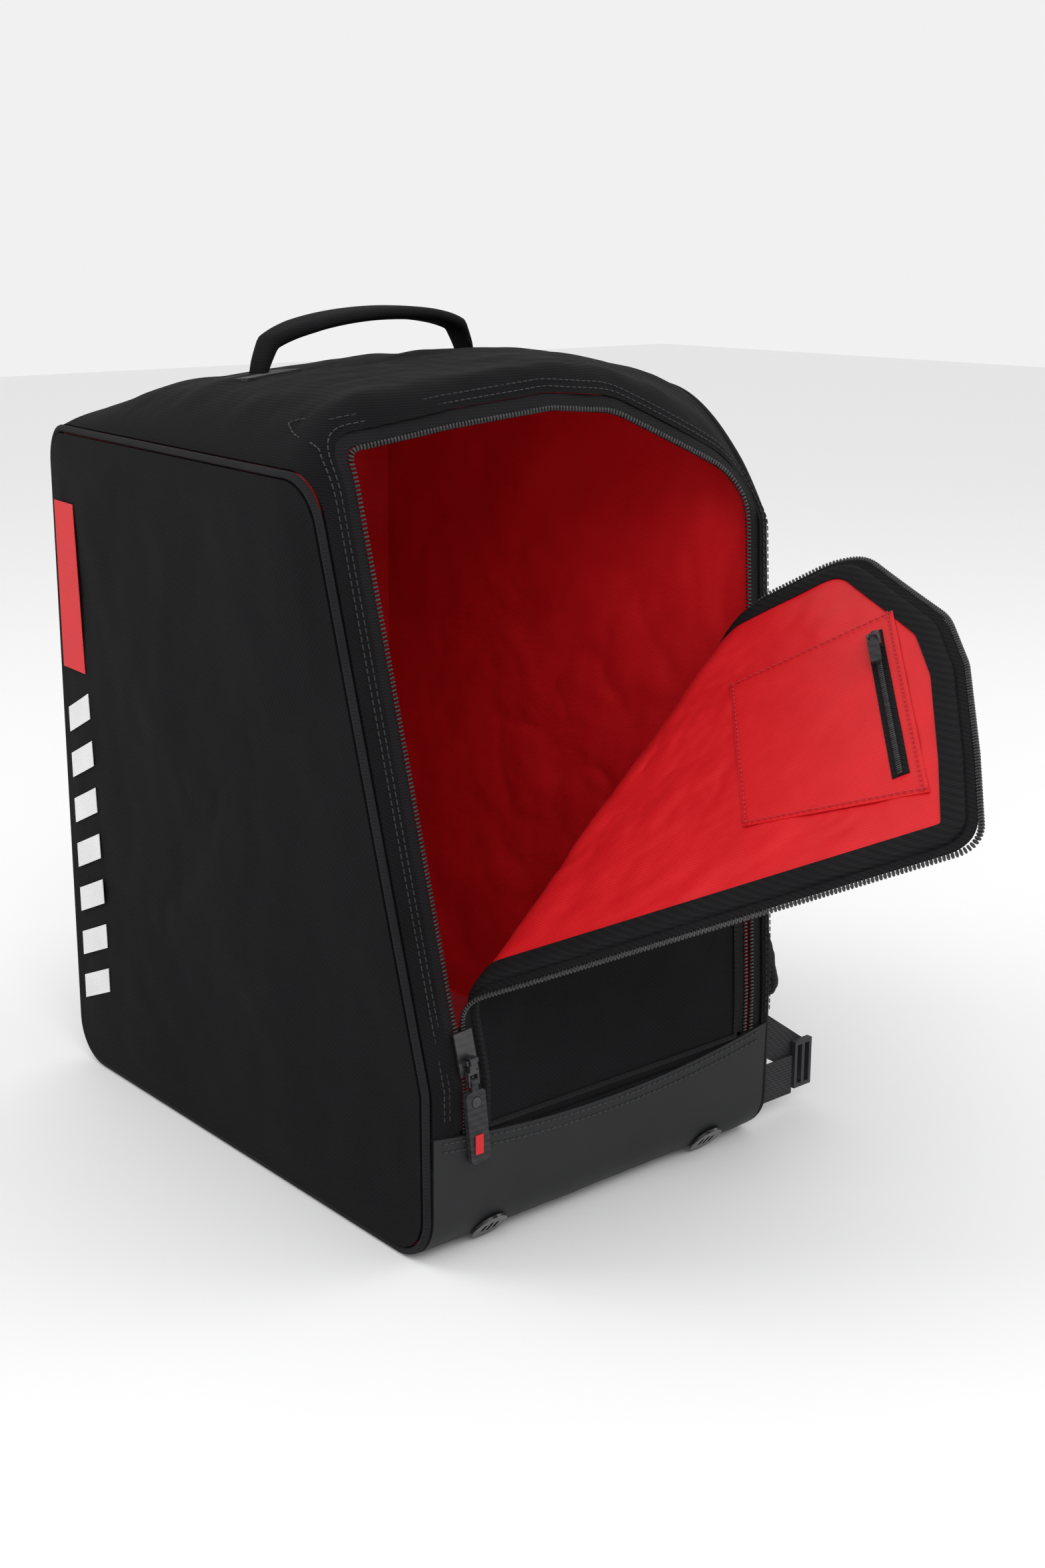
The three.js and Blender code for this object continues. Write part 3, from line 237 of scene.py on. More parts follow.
@dataclass(frozen=True)
class Mouth:
    """The zipped opening's outline in X and Z, and the crease of its open corner."""

    left_margin: float = 0.019
    right_margin: float = 0.008
    drop: float = 0.013
    left_radius: float = 0.016
    right_radius: float = 0.048
    chain: float = 0.0106
    flap_edge: float = 0.0212
    crease_left: float = 0.140
    crease_right: float = 0.322
    fold: float = math.radians(94)
    roll: float = 0.011

    def side(self, sign: int, z: float) -> float:
        """The fabric edge's X at a height."""
        margin = self.left_margin if sign < 0 else self.right_margin
        return sign * (float(FORM.half_at(np.array(FORM.front), np.array(z))) - margin)

    def top(self, x: float) -> float:
        """The fabric edge's height at a place across."""
        half = float(FORM.half_at(np.array(FORM.front), np.array(FORM.height)))
        u = np.clip(x / half, -1, 1)
        lift = FORM.crown(np.array(u), np.array(FORM.front + FORM.top_radius / 2))
        return FORM.height + float(lift) - self.drop

    def corners(self, foot: float) -> list[tuple[float, float, float]]:
        """X, Z and radius of each corner, clockwise from the lower left."""
        wide = self.side(1, FORM.height)
        left = self.top(self.side(-1, FORM.height) + self.left_radius)
        right = self.top(wide * 0.78) - self.drop
        across = [(t * wide, self.top(t * wide), 0.060) for t in (-0.45, 0.0, 0.3)]
        return [
            (self.side(-1, foot), foot, 0.0),
            (self.side(-1, FORM.knee), FORM.knee, 0.0),
            (self.side(-1, left), left, self.left_radius),
            *across,
            (self.side(1, right), right, self.right_radius),
            (self.side(1, FORM.knee), FORM.knee, 0.0),
            (self.side(1, foot), foot, 0.0),
        ]

    def run(self, inset: float, least: float, foot: float, count: int, closed: bool) -> np.ndarray:
        """The outline drawn in and rounded, as evenly spaced points.

        Args:
            inset: how far in from the fabric edge.
            least: the smallest corner radius kept.
            foot: the height of its lower end.
            count: how many points.
            closed: whether it closes along the foot.

        Returns:
            An array of X and Z pairs.
        """
        base = self.corners(foot)
        total = len(base)
        lines = []
        for i, (x, z, _) in enumerate(base):
            nx, nz, _ = base[(i + 1) % total]
            d = unit(np.array([nx - x, nz - z]))
            step = inset if i < total - 1 else 0.0
            lines.append((np.array([x + d[1] * step, z - d[0] * step]), d))
        points: list[np.ndarray] = []
        for i in range(total):
            (pa, da), (pb, db) = lines[i - 1], lines[i]
            cross = da[0] * db[1] - da[1] * db[0]
            diff = pb - pa
            corner = pa + da * (diff[0] * db[1] - diff[1] * db[0]) / cross if abs(cross) > 1e-6 else pb
            turn = math.acos(float(np.clip(da @ db, -1, 1)))
            radius = max(base[i][2] - inset, least) if base[i][2] > 0 else 0.0
            if radius < 0.001 or turn < 0.01:
                points.append(corner)
                continue
            cut = radius * math.tan(turn / 2)
            for k in range(13):
                t = k / 12
                a = corner - da * cut * (1 - t)
                b = corner + db * cut * t
                points.append(a * (1 - t) + b * t)
        path = np.array(points + ([points[0]] if closed else []))
        lengths = np.concatenate([[0], np.cumsum(np.linalg.norm(np.diff(path, axis=0), axis=1))])
        at = np.linspace(0, lengths[-1], count + (1 if closed else 0))
        if closed:
            at = at[:-1]
        return np.stack([np.interp(at, lengths, path[:, 0]), np.interp(at, lengths, path[:, 1])], axis=1)

    def crease(self) -> tuple[np.ndarray, np.ndarray, np.ndarray, np.ndarray]:
        """A point on the crease, its direction, the way up the face and the way out of it."""

        def spot(sign: int, z: float) -> np.ndarray:
            """A point of the piece."""
            x = self.side(sign, z) - sign * self.chain
            return np.array([x, FORM.front + FORM.slope * max(0.0, z - FORM.knee), z])

        out = unit(np.array([0, -1, FORM.slope]))
        left, right = spot(-1, self.crease_left), spot(1, self.crease_right)
        axis = unit(right - left)
        up = np.cross(out, axis)
        up = up if up[2] > 0 else -up
        return left + out * 0.0005, axis, up, out

    def folded(self, points: np.ndarray) -> np.ndarray:
        """Rolls what lies above the crease outwards and down.

        Args:
            points: points of the closed front panel.

        Returns:
            The same points with the corner open.
        """
        origin, axis, up, out = self.crease()
        rel = points - origin
        a, d, h = rel @ axis, rel @ up, rel @ out
        half = self.fold / 2
        reach = self.roll * math.tan(half)
        angle = self.fold * np.clip((d + reach) / (2 * reach), 0, 1)
        flat = origin + a[:, None] * axis + d[:, None] * up + h[:, None] * out
        centre = origin - reach * up + self.roll * out
        arm = self.roll - h
        rolled = centre + a[:, None] * axis + arm[:, None] * (
            np.sin(angle)[:, None] * up - np.cos(angle)[:, None] * out
        )
        up2 = math.cos(self.fold) * up + math.sin(self.fold) * out
        out2 = -math.sin(self.fold) * up + math.cos(self.fold) * out
        swung = origin + a[:, None] * axis + d[:, None] * up2 + h[:, None] * out2
        return np.where((d <= -reach)[:, None], flat, np.where((d >= reach)[:, None], swung, rolled))


MOUTH = Mouth()


class Side(Enum):
    """The two side panels, by which way along X they face."""

    PLAIN = -1
    BACK = 1


def weave_group() -> bpy.types.NodeTree:
    """The shared thread pattern.

    Returns:
        A shader node group from a vector to a height and a tint.
    """
    name = "ThreadPattern"
    if name in bpy.data.node_groups:
        return bpy.data.node_groups[name]
    tree = bpy.data.node_groups.new(name, "ShaderNodeTree")
    sock = tree.interface.new_socket
    sock("Vector", in_out="INPUT", socket_type="NodeSocketVector")
    sock("Warp", in_out="INPUT", socket_type="NodeSocketFloat")
    sock("Weft", in_out="INPUT", socket_type="NodeSocketFloat")
    sock("Height", in_out="OUTPUT", socket_type="NodeSocketFloat")
    sock("Tint", in_out="OUTPUT", socket_type="NodeSocketFloat")
    nodes, links = tree.nodes, tree.links
    entry, leave = nodes.new("NodeGroupInput"), nodes.new("NodeGroupOutput")
    waves = []
    for socket, direction in (("Warp", "DIAGONAL"), ("Weft", "Z")):
        wave = nodes.new("ShaderNodeTexWave")
        wave.bands_direction = direction
        wave.inputs["Distortion"].default_value = 0.4
        links.new(entry.outputs["Vector"], wave.inputs["Vector"])
        links.new(entry.outputs[socket], wave.inputs["Scale"])
        waves.append(wave)
    mix = nodes.new("ShaderNodeMath")
    mix.operation = "MULTIPLY_ADD"
    links.new(waves[0].outputs["Fac"], mix.inputs[0])
    mix.inputs[1].default_value = 0.6
    links.new(waves[1].outputs["Fac"], mix.inputs[2])
    links.new(mix.outputs[0], leave.inputs["Height"])
    slub = nodes.new("ShaderNodeTexNoise")
    slub.inputs["Scale"].default_value = 38.0
    slub.inputs["Detail"].default_value = 6.0
    links.new(entry.outputs["Vector"], slub.inputs["Vector"])
    links.new(slub.outputs["Fac"], leave.inputs["Tint"])
    return tree


@dataclass(frozen=True)
class Finish:
    """A finish with its thread or grain.

    Attributes:
        name: the material's name.
        dark: colour in the hollows of the pattern.
        light: colour where the pattern stands up.
        rough: roughness.
        warp: scale of the pattern one way.
        weft: scale the other way.
        relief: how deep the pattern is.
        sheen: how strongly fibres catch light at a glance.
        metal: metallic value.
        specular: strength of the gloss.
        depth: height of the pattern in metres.
    """

    name: str
    dark: tuple[float, float, float]
    light: tuple[float, float, float]
    rough: float = 0.85
    warp: float = 220.0
    weft: float = 260.0
    relief: float = 0.25
    sheen: float = 0.15
    metal: float = 0.0
    specular: float = 0.3
    depth: float = 0.0003

    def material(self) -> bpy.types.Material:
        """Builds the material once and returns it."""
        if self.name in bpy.data.materials:
            return bpy.data.materials[self.name]
        mat = bpy.data.materials.new(self.name)
        mat.use_nodes = True
        nodes, links = mat.node_tree.nodes, mat.node_tree.links
        shader = nodes["Principled BSDF"]
        where = nodes.new("ShaderNodeTexCoord")
        group = nodes.new("ShaderNodeGroup")
        group.node_tree = weave_group()
        group.inputs["Warp"].default_value = self.warp
        group.inputs["Weft"].default_value = self.weft
        links.new(where.outputs["Object"], group.inputs["Vector"])
        ramp = nodes.new("ShaderNodeMix")
        ramp.data_type = "RGBA"
        ramp.inputs["A"].default_value = (*self.dark, 1)
        ramp.inputs["B"].default_value = (*self.light, 1)
        blend = nodes.new("ShaderNodeMath")
        blend.operation = "MULTIPLY"
        links.new(group.outputs["Height"], blend.inputs[0])
        links.new(group.outputs["Tint"], blend.inputs[1])
        links.new(blend.outputs[0], ramp.inputs["Factor"])
        links.new(ramp.outputs["Result"], shader.inputs["Base Color"])
        span = nodes.new("ShaderNodeMapRange")
        span.inputs["To Min"].default_value = max(0.05, self.rough - 0.07)
        span.inputs["To Max"].default_value = min(1.0, self.rough + 0.07)
        links.new(group.outputs["Tint"], span.inputs["Value"])
        links.new(span.outputs["Result"], shader.inputs["Roughness"])
        bump = nodes.new("ShaderNodeBump")
        bump.inputs["Strength"].default_value = self.relief
        bump.inputs["Distance"].default_value = self.depth
        links.new(group.outputs["Height"], bump.inputs["Height"])
        links.new(bump.outputs["Normal"], shader.inputs["Normal"])
        shader.inputs["Metallic"].default_value = self.metal
        shader.inputs["Specular IOR Level"].default_value = self.specular
        shader.inputs["Sheen Weight"].default_value = self.sheen
        return mat


WOVEN = Finish("woven_black", (0.0028, 0.0028, 0.0033), (0.0085, 0.0085, 0.0098),
               rough=0.9, relief=0.4, sheen=0.0, specular=0.12)
RUBBERISED = Finish("rubberised_grey", (0.0085, 0.0087, 0.0098), (0.0165, 0.017, 0.0185),
                    0.6, 520, 560, 0.06, 0.0, specular=0.3)
PIPED = Finish("piping_black", (0.006, 0.006, 0.007), (0.018, 0.018, 0.02),
               0.85, 300, 340, 0.3, 0.0, specular=0.15)
PADDED = Finish("mesh_black", (0.003, 0.003, 0.0035), (0.013, 0.013, 0.015), 0.92, 120, 130, 0.7, 0.03)
NYLON = Finish("nylon_red", (0.55, 0.006, 0.010), (0.74, 0.014, 0.020),
               0.5, 330, 360, 0.12, 0.0, specular=0.3)
BINDING = Finish("binding_black", (0.005, 0.005, 0.006), (0.012, 0.012, 0.013),
                 0.85, 170, 120, 0.5, 0.0, specular=0.15)
TAPE = Finish("tape_black", (0.005, 0.005, 0.006), (0.012, 0.012, 0.013),
              0.85, 240, 200, 0.5, 0.0, specular=0.15)
COIL = Finish("coil_black", (0.008, 0.008, 0.009), (0.03, 0.03, 0.033),
              0.38, 90, 90, 0.1, 0.0, specular=0.5)
LACQUER = Finish("lacquer_black", (0.012, 0.012, 0.013), (0.035, 0.035, 0.038),
                 0.3, 70, 80, 0.08, 0.0, specular=0.55)
PULLER = Finish("puller_rubber", (0.012, 0.012, 0.014), (0.035, 0.035, 0.04), 0.6, 80, 90, 0.15, 0.0)
EYELET = Finish("eyelet_plastic", (0.010, 0.010, 0.011), (0.028, 0.028, 0.030),
                0.34, 60, 70, 0.06, 0.0, specular=0.5)
WEBBING = Finish("webbing_black", (0.005, 0.005, 0.006), (0.026, 0.026, 0.029), 0.84, 150, 170, 0.8, 0.1)
BUCKLE = Finish("buckle_plastic", (0.010, 0.010, 0.011), (0.026, 0.026, 0.028), 0.45, 70, 80, 0.1, 0.0)
BOARD = Finish("board_red", (0.30, 0.006, 0.010), (0.48, 0.014, 0.02), 0.7, 200, 220, 0.2, 0.1)
THREAD = Finish("thread_black", (0.012, 0.012, 0.013), (0.045, 0.045, 0.05), 0.7, 500, 500, 0.3, 0.1)
RED_THREAD = Finish("thread_red", (0.42, 0.006, 0.012), (0.62, 0.014, 0.02), 0.6, 500, 500, 0.3, 0.1)
RED_INK = Finish("ink_red", (0.52, 0.01, 0.014), (0.66, 0.02, 0.024), 0.6, 220, 260, 0.3, 0.0)
WHITE_INK = Finish("ink_white", (0.62, 0.62, 0.62), (0.82, 0.82, 0.82), 0.6, 220, 260, 0.3, 0.0)

NODE_FINISHES: dict[str, Finish] = {
    "left_slider": LACQUER, "right_slider": LACQUER, "left_link": LACQUER, "right_link": LACQUER,
    "pocket_slider": LACQUER, "left_rivet": LACQUER, "right_rivet": LACQUER,
    "left_pull": PULLER, "right_pull": PULLER, "pocket_pull": PULLER,
    "drain_eyelet_left": EYELET, "drain_eyelet_right": EYELET,
    "ladder_lock_front": BUCKLE, "ladder_lock_rear": BUCKLE,
    "strap_web_front": WEBBING, "strap_web_rear": WEBBING,
    "strap_tab_front": WEBBING, "strap_tab_rear": WEBBING,
    "strap_anchor_front": WEBBING, "strap_anchor_rear": WEBBING,
    "handle_patch_left": WEBBING, "handle_patch_right": WEBBING,
    "base_board": BOARD,
}


@dataclass(frozen=True)
class Wrinkle:
    """Soft unevenness of a cloth: height in metres, waves per metre, and how each axis is stretched."""

    height: float = 0.0012
    waves: float = 9.0
    stretch: tuple[float, float, float] = (1.0, 1.0, 1.0)
    seed: float = 0.0
    inward: bool = False


def choose(piece: bpy.types.Object) -> None:
    """Selects one piece and makes it active."""
    bpy.ops.object.select_all(action="DESELECT")
    piece.select_set(True)
    bpy.context.view_layer.objects.active = piece


def edit_all(piece: bpy.types.Object, *steps: Callable[[], object]) -> None:
    """Runs edit-mode steps on every vertex of a piece."""
    choose(piece)
    bpy.ops.object.mode_set(mode="EDIT")
    bpy.ops.mesh.select_all(action="SELECT")
    for step in steps:
        step()
    bpy.ops.object.mode_set(mode="OBJECT")


def apply_modifier(piece: bpy.types.Object, kind: str, **values: object) -> None:
    """Adds a modifier with its values and applies it."""
    modifier = piece.modifiers.new(kind.title(), kind)
    for key, value in values.items():
        setattr(modifier, key, value)
    choose(piece)
    bpy.ops.object.modifier_apply(modifier=modifier.name)


def finish_mesh(piece: bpy.types.Object, name: str, look: Finish, smooth: float = 40.0) -> bpy.types.Object:
    """Names a piece, gives it its material and smooths it."""
    piece.name = name
    piece.data.name = name
    piece.data.materials.clear()
    piece.data.materials.append(look.material())
    choose(piece)
    bpy.ops.object.shade_smooth_by_angle(angle=math.radians(smooth))
    return piece


def cloth(name: str, cells: tuple[int, int], place: Place, look: Finish, hint: Sequence[float],
          thickness: float = 0.0, wrinkle: Wrinkle | None = None, wrapped: bool = False,
          fade: float = 0.12) -> bpy.types.Object:
    """Shapes a piece of cloth from a grid.

    Args:
        name: the piece's name.
        cells: faces along each way.
        place: gives each grid point its place.
        look: the finish.
        hint: roughly which way its outside faces.
        thickness: the cloth's thickness, inwards.
        wrinkle: unevenness, if any.
        wrapped: whether the first way closes on itself.
        fade: share of the piece over which wrinkles die out at its edges.

    Returns:
        The finished piece.
    """
    bpy.ops.object.select_all(action="DESELECT")
    bpy.ops.mesh.primitive_grid_add(x_subdivisions=cells[0], y_subdivisions=cells[1], size=1.0)
    piece = bpy.context.object
    mesh = piece.data
    flat = np.empty(len(mesh.vertices) * 3)
    mesh.vertices.foreach_get("co", flat)
    flat = flat.reshape(-1, 3)
    u, v = flat[:, 0] + 0.5, flat[:, 1] + 0.5
    mesh.vertices.foreach_set("co", place(u, v).ravel())
    mesh.update()
    facing = Vector((0, 0, 0))
    for face in mesh.polygons:
        facing += face.normal * face.area
    if facing.dot(Vector(hint)) < 0:
        edit_all(piece, bpy.ops.mesh.flip_normals)
    if wrinkle:
        normals = np.empty(len(mesh.vertices) * 3)
        mesh.vertex_normals.foreach_get("vector", normals)
        normals = normals.reshape(-1, 3)
        points = place(u, v)
        near = np.minimum(v, 1 - v) if wrapped else np.minimum(np.minimum(u, 1 - u), np.minimum(v, 1 - v))
        mask = np.clip(near / fade, 0, 1)
        at = points * np.array(wrinkle.stretch) * wrinkle.waves + wrinkle.seed
        push = np.array([noise.fractal(Vector(p), 0.9, 2.1, 4) for p in at])
        push = -np.abs(push) if wrinkle.inward else np.abs(push)
        points = points + normals * (push * mask * wrinkle.height)[:, None]
        mesh.vertices.foreach_set("co", points.ravel())
        mesh.update()
    if wrapped:
        edit_all(piece, lambda: bpy.ops.mesh.remove_doubles(threshold=MERGE))
    if thickness:
        apply_modifier(piece, "SOLIDIFY", thickness=thickness, offset=-1.0)
    return finish_mesh(piece, name, look)


def disc(boundary: np.ndarray, centre: np.ndarray) -> Callable[[np.ndarray, np.ndarray], np.ndarray]:
    """A way to fill an outline from its middle.

    Args:
        boundary: closed outline, two numbers a point.
        centre: a point inside it.

    Returns:
        A function from share round and share out to a point.
    """
    ring = np.vstack([boundary, boundary[:1]])
    steps = np.arange(len(ring)) / (len(ring) - 1)

    def at(u: np.ndarray, v: np.ndarray) -> np.ndarray:
        """A point inside the outline."""
        edge = np.stack([np.interp(u, steps, ring[:, k]) for k in (0, 1)], axis=1)
        return centre + (edge - centre) * v[:, None]

    return at


def along(points: np.ndarray, closed: bool = False) -> np.ndarray:
    """Directions along a line of points."""
    if closed:
        return unit(np.roll(points, -1, axis=0) - np.roll(points, 1, axis=0))
    return unit(np.gradient(points, axis=0))


def tube(name: str, points: np.ndarray, radius: float, look: Finish, closed: bool,
         sides: int = 10) -> bpy.types.Object:
    """A cord swept along points.

    Args:
        name: the piece's name.
        points: its centre line.
        radius: its radius.
        look: the finish.
        closed: whether it joins up.
        sides: faces round it.

    Returns:
        The finished piece.
    """
    line = np.vstack([points, points[:1]]) if closed else points
    way = along(points, closed)
    way = np.vstack([way, way[:1]]) if closed else way
    side = unit(np.cross(way, np.array([1.0, 0.0, 0.0]) + 1e-4))
    other = np.cross(way, side)
    count = len(line) - 1

    def place(u: np.ndarray, v: np.ndarray) -> np.ndarray:
        """Gives the place of a point of the grid."""
        i = np.clip(np.round(u * count).astype(int), 0, count)
        a = 2 * np.pi * v
        return line[i] + radius * (np.cos(a)[:, None] * side[i] + np.sin(a)[:, None] * other[i])

    piece = cloth(name, (count, sides), place, look, (0, 0, 1))
    edit_all(piece, lambda: bpy.ops.mesh.remove_doubles(threshold=MERGE),
             lambda: bpy.ops.mesh.normals_make_consistent(inside=False))
    return finish_mesh(piece, name, look, 60)


def repeated(name: str, size: tuple[float, float, float], origins: np.ndarray, ways: np.ndarray,
             outs: np.ndarray, look: Finish, bevel: float = 0.3) -> bpy.types.Object:
    """Copies one small rounded block along a line, as coil turns or stitches.

    Args:
        name: the piece's name.
        size: the block along the line, across it and out of the surface.
        origins: each block's middle.
        ways: each block's direction along the line.
        outs: each block's direction out of the surface.
        look: the finish.
        bevel: share of the smallest size taken off the edges.

    Returns:
        One piece with every block.
    """
    bpy.ops.object.select_all(action="DESELECT")
    bpy.ops.mesh.primitive_cube_add(size=1.0)
    piece = bpy.context.object
    block = piece.data
    one = np.array([v.co for v in block.vertices]) * np.array(size)
    block.vertices.foreach_set("co", one.ravel())
    edit_all(piece, lambda: bpy.ops.mesh.bevel(offset=min(size) * bevel, segments=1))
    corners = np.array([v.co for v in block.vertices])
    faces = [tuple(p.vertices) for p in block.polygons]
    ways, outs = unit(ways), unit(outs)
    sides = unit(np.cross(outs, ways))
    outs = np.cross(ways, sides)
    placed = (origins[:, None, :] + corners[None, :, 0:1] * ways[:, None, :]
              + corners[None, :, 1:2] * sides[:, None, :] + corners[None, :, 2:3] * outs[:, None, :])
    every = [tuple(i + k * len(corners) for i in face) for k in range(len(origins)) for face in faces]
    block.clear_geometry()
    block.from_pydata(placed.reshape(-1, 3).tolist(), [], every)
    block.update()
    edit_all(piece, lambda: bpy.ops.mesh.normals_make_consistent(inside=False))
    return finish_mesh(piece, name, look, 50)


def spaced(points: np.ndarray, pitch: float) -> np.ndarray:
    """Points at an even pitch along a line."""
    lengths = np.concatenate([[0], np.cumsum(np.linalg.norm(np.diff(points, axis=0), axis=1))])
    at = np.arange(pitch / 2, lengths[-1], pitch)
    return np.stack([np.interp(at, lengths, points[:, k]) for k in range(points.shape[1])], axis=1)


def settle(piece: bpy.types.Object, body: str, slot: str, *nodes: str) -> bpy.types.Object:
    """Rides a piece on a body and hides the parts it stands for."""
    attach(piece, body)
    if nodes:
        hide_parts(*nodes)
    return piece


@dataclass
class Shell:
    """The black woven body, its piping and the rubberised base."""

    tuck: float = 0.0049
    fabric: float = 0.003
    top_seam: float = 0.158
    cut_depth: float = 0.16

    def mouth_cutter(self, inset: float) -> bpy.types.Object:
        """A solid of the mouth's outline, for cutting the opening."""
        ring = MOUTH.run(inset, 0.005, FORM.base - 0.004, 260, True)
        bpy.ops.object.select_all(action="DESELECT")
        bpy.ops.mesh.primitive_circle_add(vertices=len(ring), fill_type="NGON")
        cutter = bpy.context.object
        start = FORM.front - 0.04
        cutter.data.vertices.foreach_set("co", np.stack(
            [ring[:, 0], np.full(len(ring), start), ring[:, 1]], axis=1).ravel())
        push = {"value": (0, self.cut_depth, 0)}
        edit_all(cutter, lambda: bpy.ops.mesh.extrude_region_move(TRANSFORM_OT_translate=push),
                 lambda: bpy.ops.mesh.select_all(action="SELECT"),
                 lambda: bpy.ops.mesh.normals_make_consistent(inside=False))
        return cutter

    def open_mouth(self, piece: bpy.types.Object, inset: float) -> None:
        """Cuts the mouth out of a piece."""
        cutter = self.mouth_cutter(inset)
        apply_modifier(piece, "BOOLEAN", operation="DIFFERENCE", object=cutter, solver="EXACT")
        bpy.data.objects.remove(cutter, do_unlink=True)

    def wrap(self, name: str, start: float, end: float, cells: tuple[int, int], look: Finish,
             hint: Sequence[float], inset: float = 0.0, thickness: float = 0.003,
             wrinkle: Wrinkle | None = None, edge: float | None = None) -> bpy.types.Object:
        """A part of the gusset that wraps round the outline.

        Args:
            name: the piece's name.
            start: where it begins on the outline.
            end: where it ends.
            cells: faces round and across.
            look: the finish.
            hint: which way it mostly faces.
            inset: how far it lies under the skin.
            thickness: its thickness.
            wrinkle: unevenness.
            edge: how far its ends stay in from the sides.

        Returns:
            The finished piece.
        """
        ring = FORM.outline(inset, start, end, 600)
        steps = np.linspace(0, 1, 600)
        margin = self.tuck if edge is None else edge

        def place(u: np.ndarray, v: np.ndarray) -> np.ndarray:
            """Gives the place of a point of the grid."""
            y, z = np.interp(u, steps, ring[:, 0]), np.interp(u, steps, ring[:, 1])
            return FORM.skin(y, z, 2 * v - 1, inset, margin)

        return cloth(name, cells, place, look, hint, thickness, wrinkle, fade=0.08)

    def panel(self, name: str, side: Side, look: Finish, inset: float, level: float, thickness: float,
              wrinkle: Wrinkle | None, bulge: float = 0.0) -> bpy.types.Object:
        """A side panel, filled from its middle.

        Args:
            name: the piece's name.
            side: which side panel.
            look: the finish.
            inset: how far inside the outline it ends.
            level: how far under the side its outer face lies.
            thickness: its thickness.
            wrinkle: unevenness.
            bulge: how far its middle stands out.

        Returns:
            The finished piece.
        """
        middle = np.array([0.0, FORM.height / 2])
        fill = disc(FORM.outline(inset, 0, 1, 401)[:-1], middle)

        def place(u: np.ndarray, v: np.ndarray) -> np.ndarray:
            """Gives the place of a point of the grid."""
            p = fill(u, v)
            points = FORM.skin(p[:, 0], p[:, 1], np.full(len(u), float(side.value)), inset, level)
            points[:, 0] += side.value * bulge * np.cos(v * np.pi / 2) ** 1.5
            return points

        hint = (side.value, 0, 0)
        return cloth(name, (180, 56), place, look, hint, thickness, wrinkle, wrapped=True, fade=0.1)

    def piping(self, name: str, side: Side) -> bpy.types.Object:
        """The cord sewn round a side panel."""
        radius = 0.0022
        ring = FORM.outline(radius + 0.0002, 0, 1, 421)[:-1]
        across = np.full(len(ring), float(side.value))
        line = FORM.skin(ring[:, 0], ring[:, 1], across, radius, radius + 0.0002)
        return tube(name, line, radius, PIPED, True)

    def hem(self, x: np.ndarray) -> np.ndarray:
        """How far the base's front edge dips below its sides."""
        return 0.012 * (1 - np.clip(np.abs(x) / FORM.half_width, 0, 1) ** 2)

    def base(self) -> bpy.types.Object:
        """The rubberised base with its dipping front hem."""
        start, end = FORM.share_at(FORM.base, False) - 1, FORM.share_at(0.076, True)
        ring = FORM.outline(0, 0, 1, OUTLINE_STEPS)
        steps = np.linspace(0, 1, OUTLINE_STEPS)

        def place(u: np.ndarray, v: np.ndarray) -> np.ndarray:
            """Gives the place of a point of the grid."""
            at = start + (end - start) * u
            y, z = np.interp(at % 1, steps, ring[:, 0]), np.interp(at % 1, steps, ring[:, 1])
            points = FORM.skin(y, z, 2 * v - 1, 0, self.tuck)
            front = (points[:, 1] < FORM.front + 0.001) & (points[:, 2] > FORM.bottom_radius)
            share = np.clip((points[:, 2] - FORM.bottom_radius) / (0.076 - FORM.bottom_radius), 0, 1)
            points[:, 2] -= np.where(front, self.hem(points[:, 0]) * share, 0)
            points[:, 1] -= np.where(front, 0.0012 * share, 0)
            return points

        return cloth("base_cover", (190, 60), place, RUBBERISED, (0, 0, -1), self.fabric,
                     Wrinkle(0.0012, 11, seed=4.0), fade=0.06)

    def build(self) -> None:
        """Makes and dresses every part of the shell."""
        foot, over = FORM.share_at(0.058, True), FORM.share_at_depth(self.top_seam)
        top = self.wrap("front_and_top_cover", foot, over, (190, 90), WOVEN, (0, -1, 1),
                        wrinkle=Wrinkle(0.004, 7, (1, 1.4, 1), 2.0))
        self.open_mouth(top, 0.0)
        finish_mesh(top, "front_and_top_cover", WOVEN)
        settle(top, "bag", "woven_shell", "top_panel", "front_strip_left", "front_strip_right")
        low = FORM.share_at(0.066, False)
        rear = self.wrap("rear_cover", over + 0.0006, low, (120, 70), WOVEN, (0, 1, 0),
                         wrinkle=Wrinkle(0.004, 6, seed=7.0))
        settle(rear, "bag", "woven_shell", "rear_panel")
        settle(self.base(), "bag", "rubberised_base", "base_panel")
        side = self.panel("side_cover", Side.PLAIN, WOVEN, self.tuck, 0.0, self.fabric,
                          Wrinkle(0.005, 5, seed=1.0), 0.003)
        settle(side, "bag", "woven_shell", "side_panel")
        back = self.panel("back_cover", Side.BACK, WOVEN, self.tuck, 0.0, self.fabric,
                          Wrinkle(0.002, 5, seed=9.0))
        settle(back, "bag", "woven_shell", "back_panel")
        settle(self.piping("side_piping_cord", Side.PLAIN), "bag", "piping", "side_piping")
        settle(self.piping("back_piping_cord", Side.BACK), "bag", "piping", "back_piping")
        LOG.info("shell: six covers and two piping cords")
        self.seams()

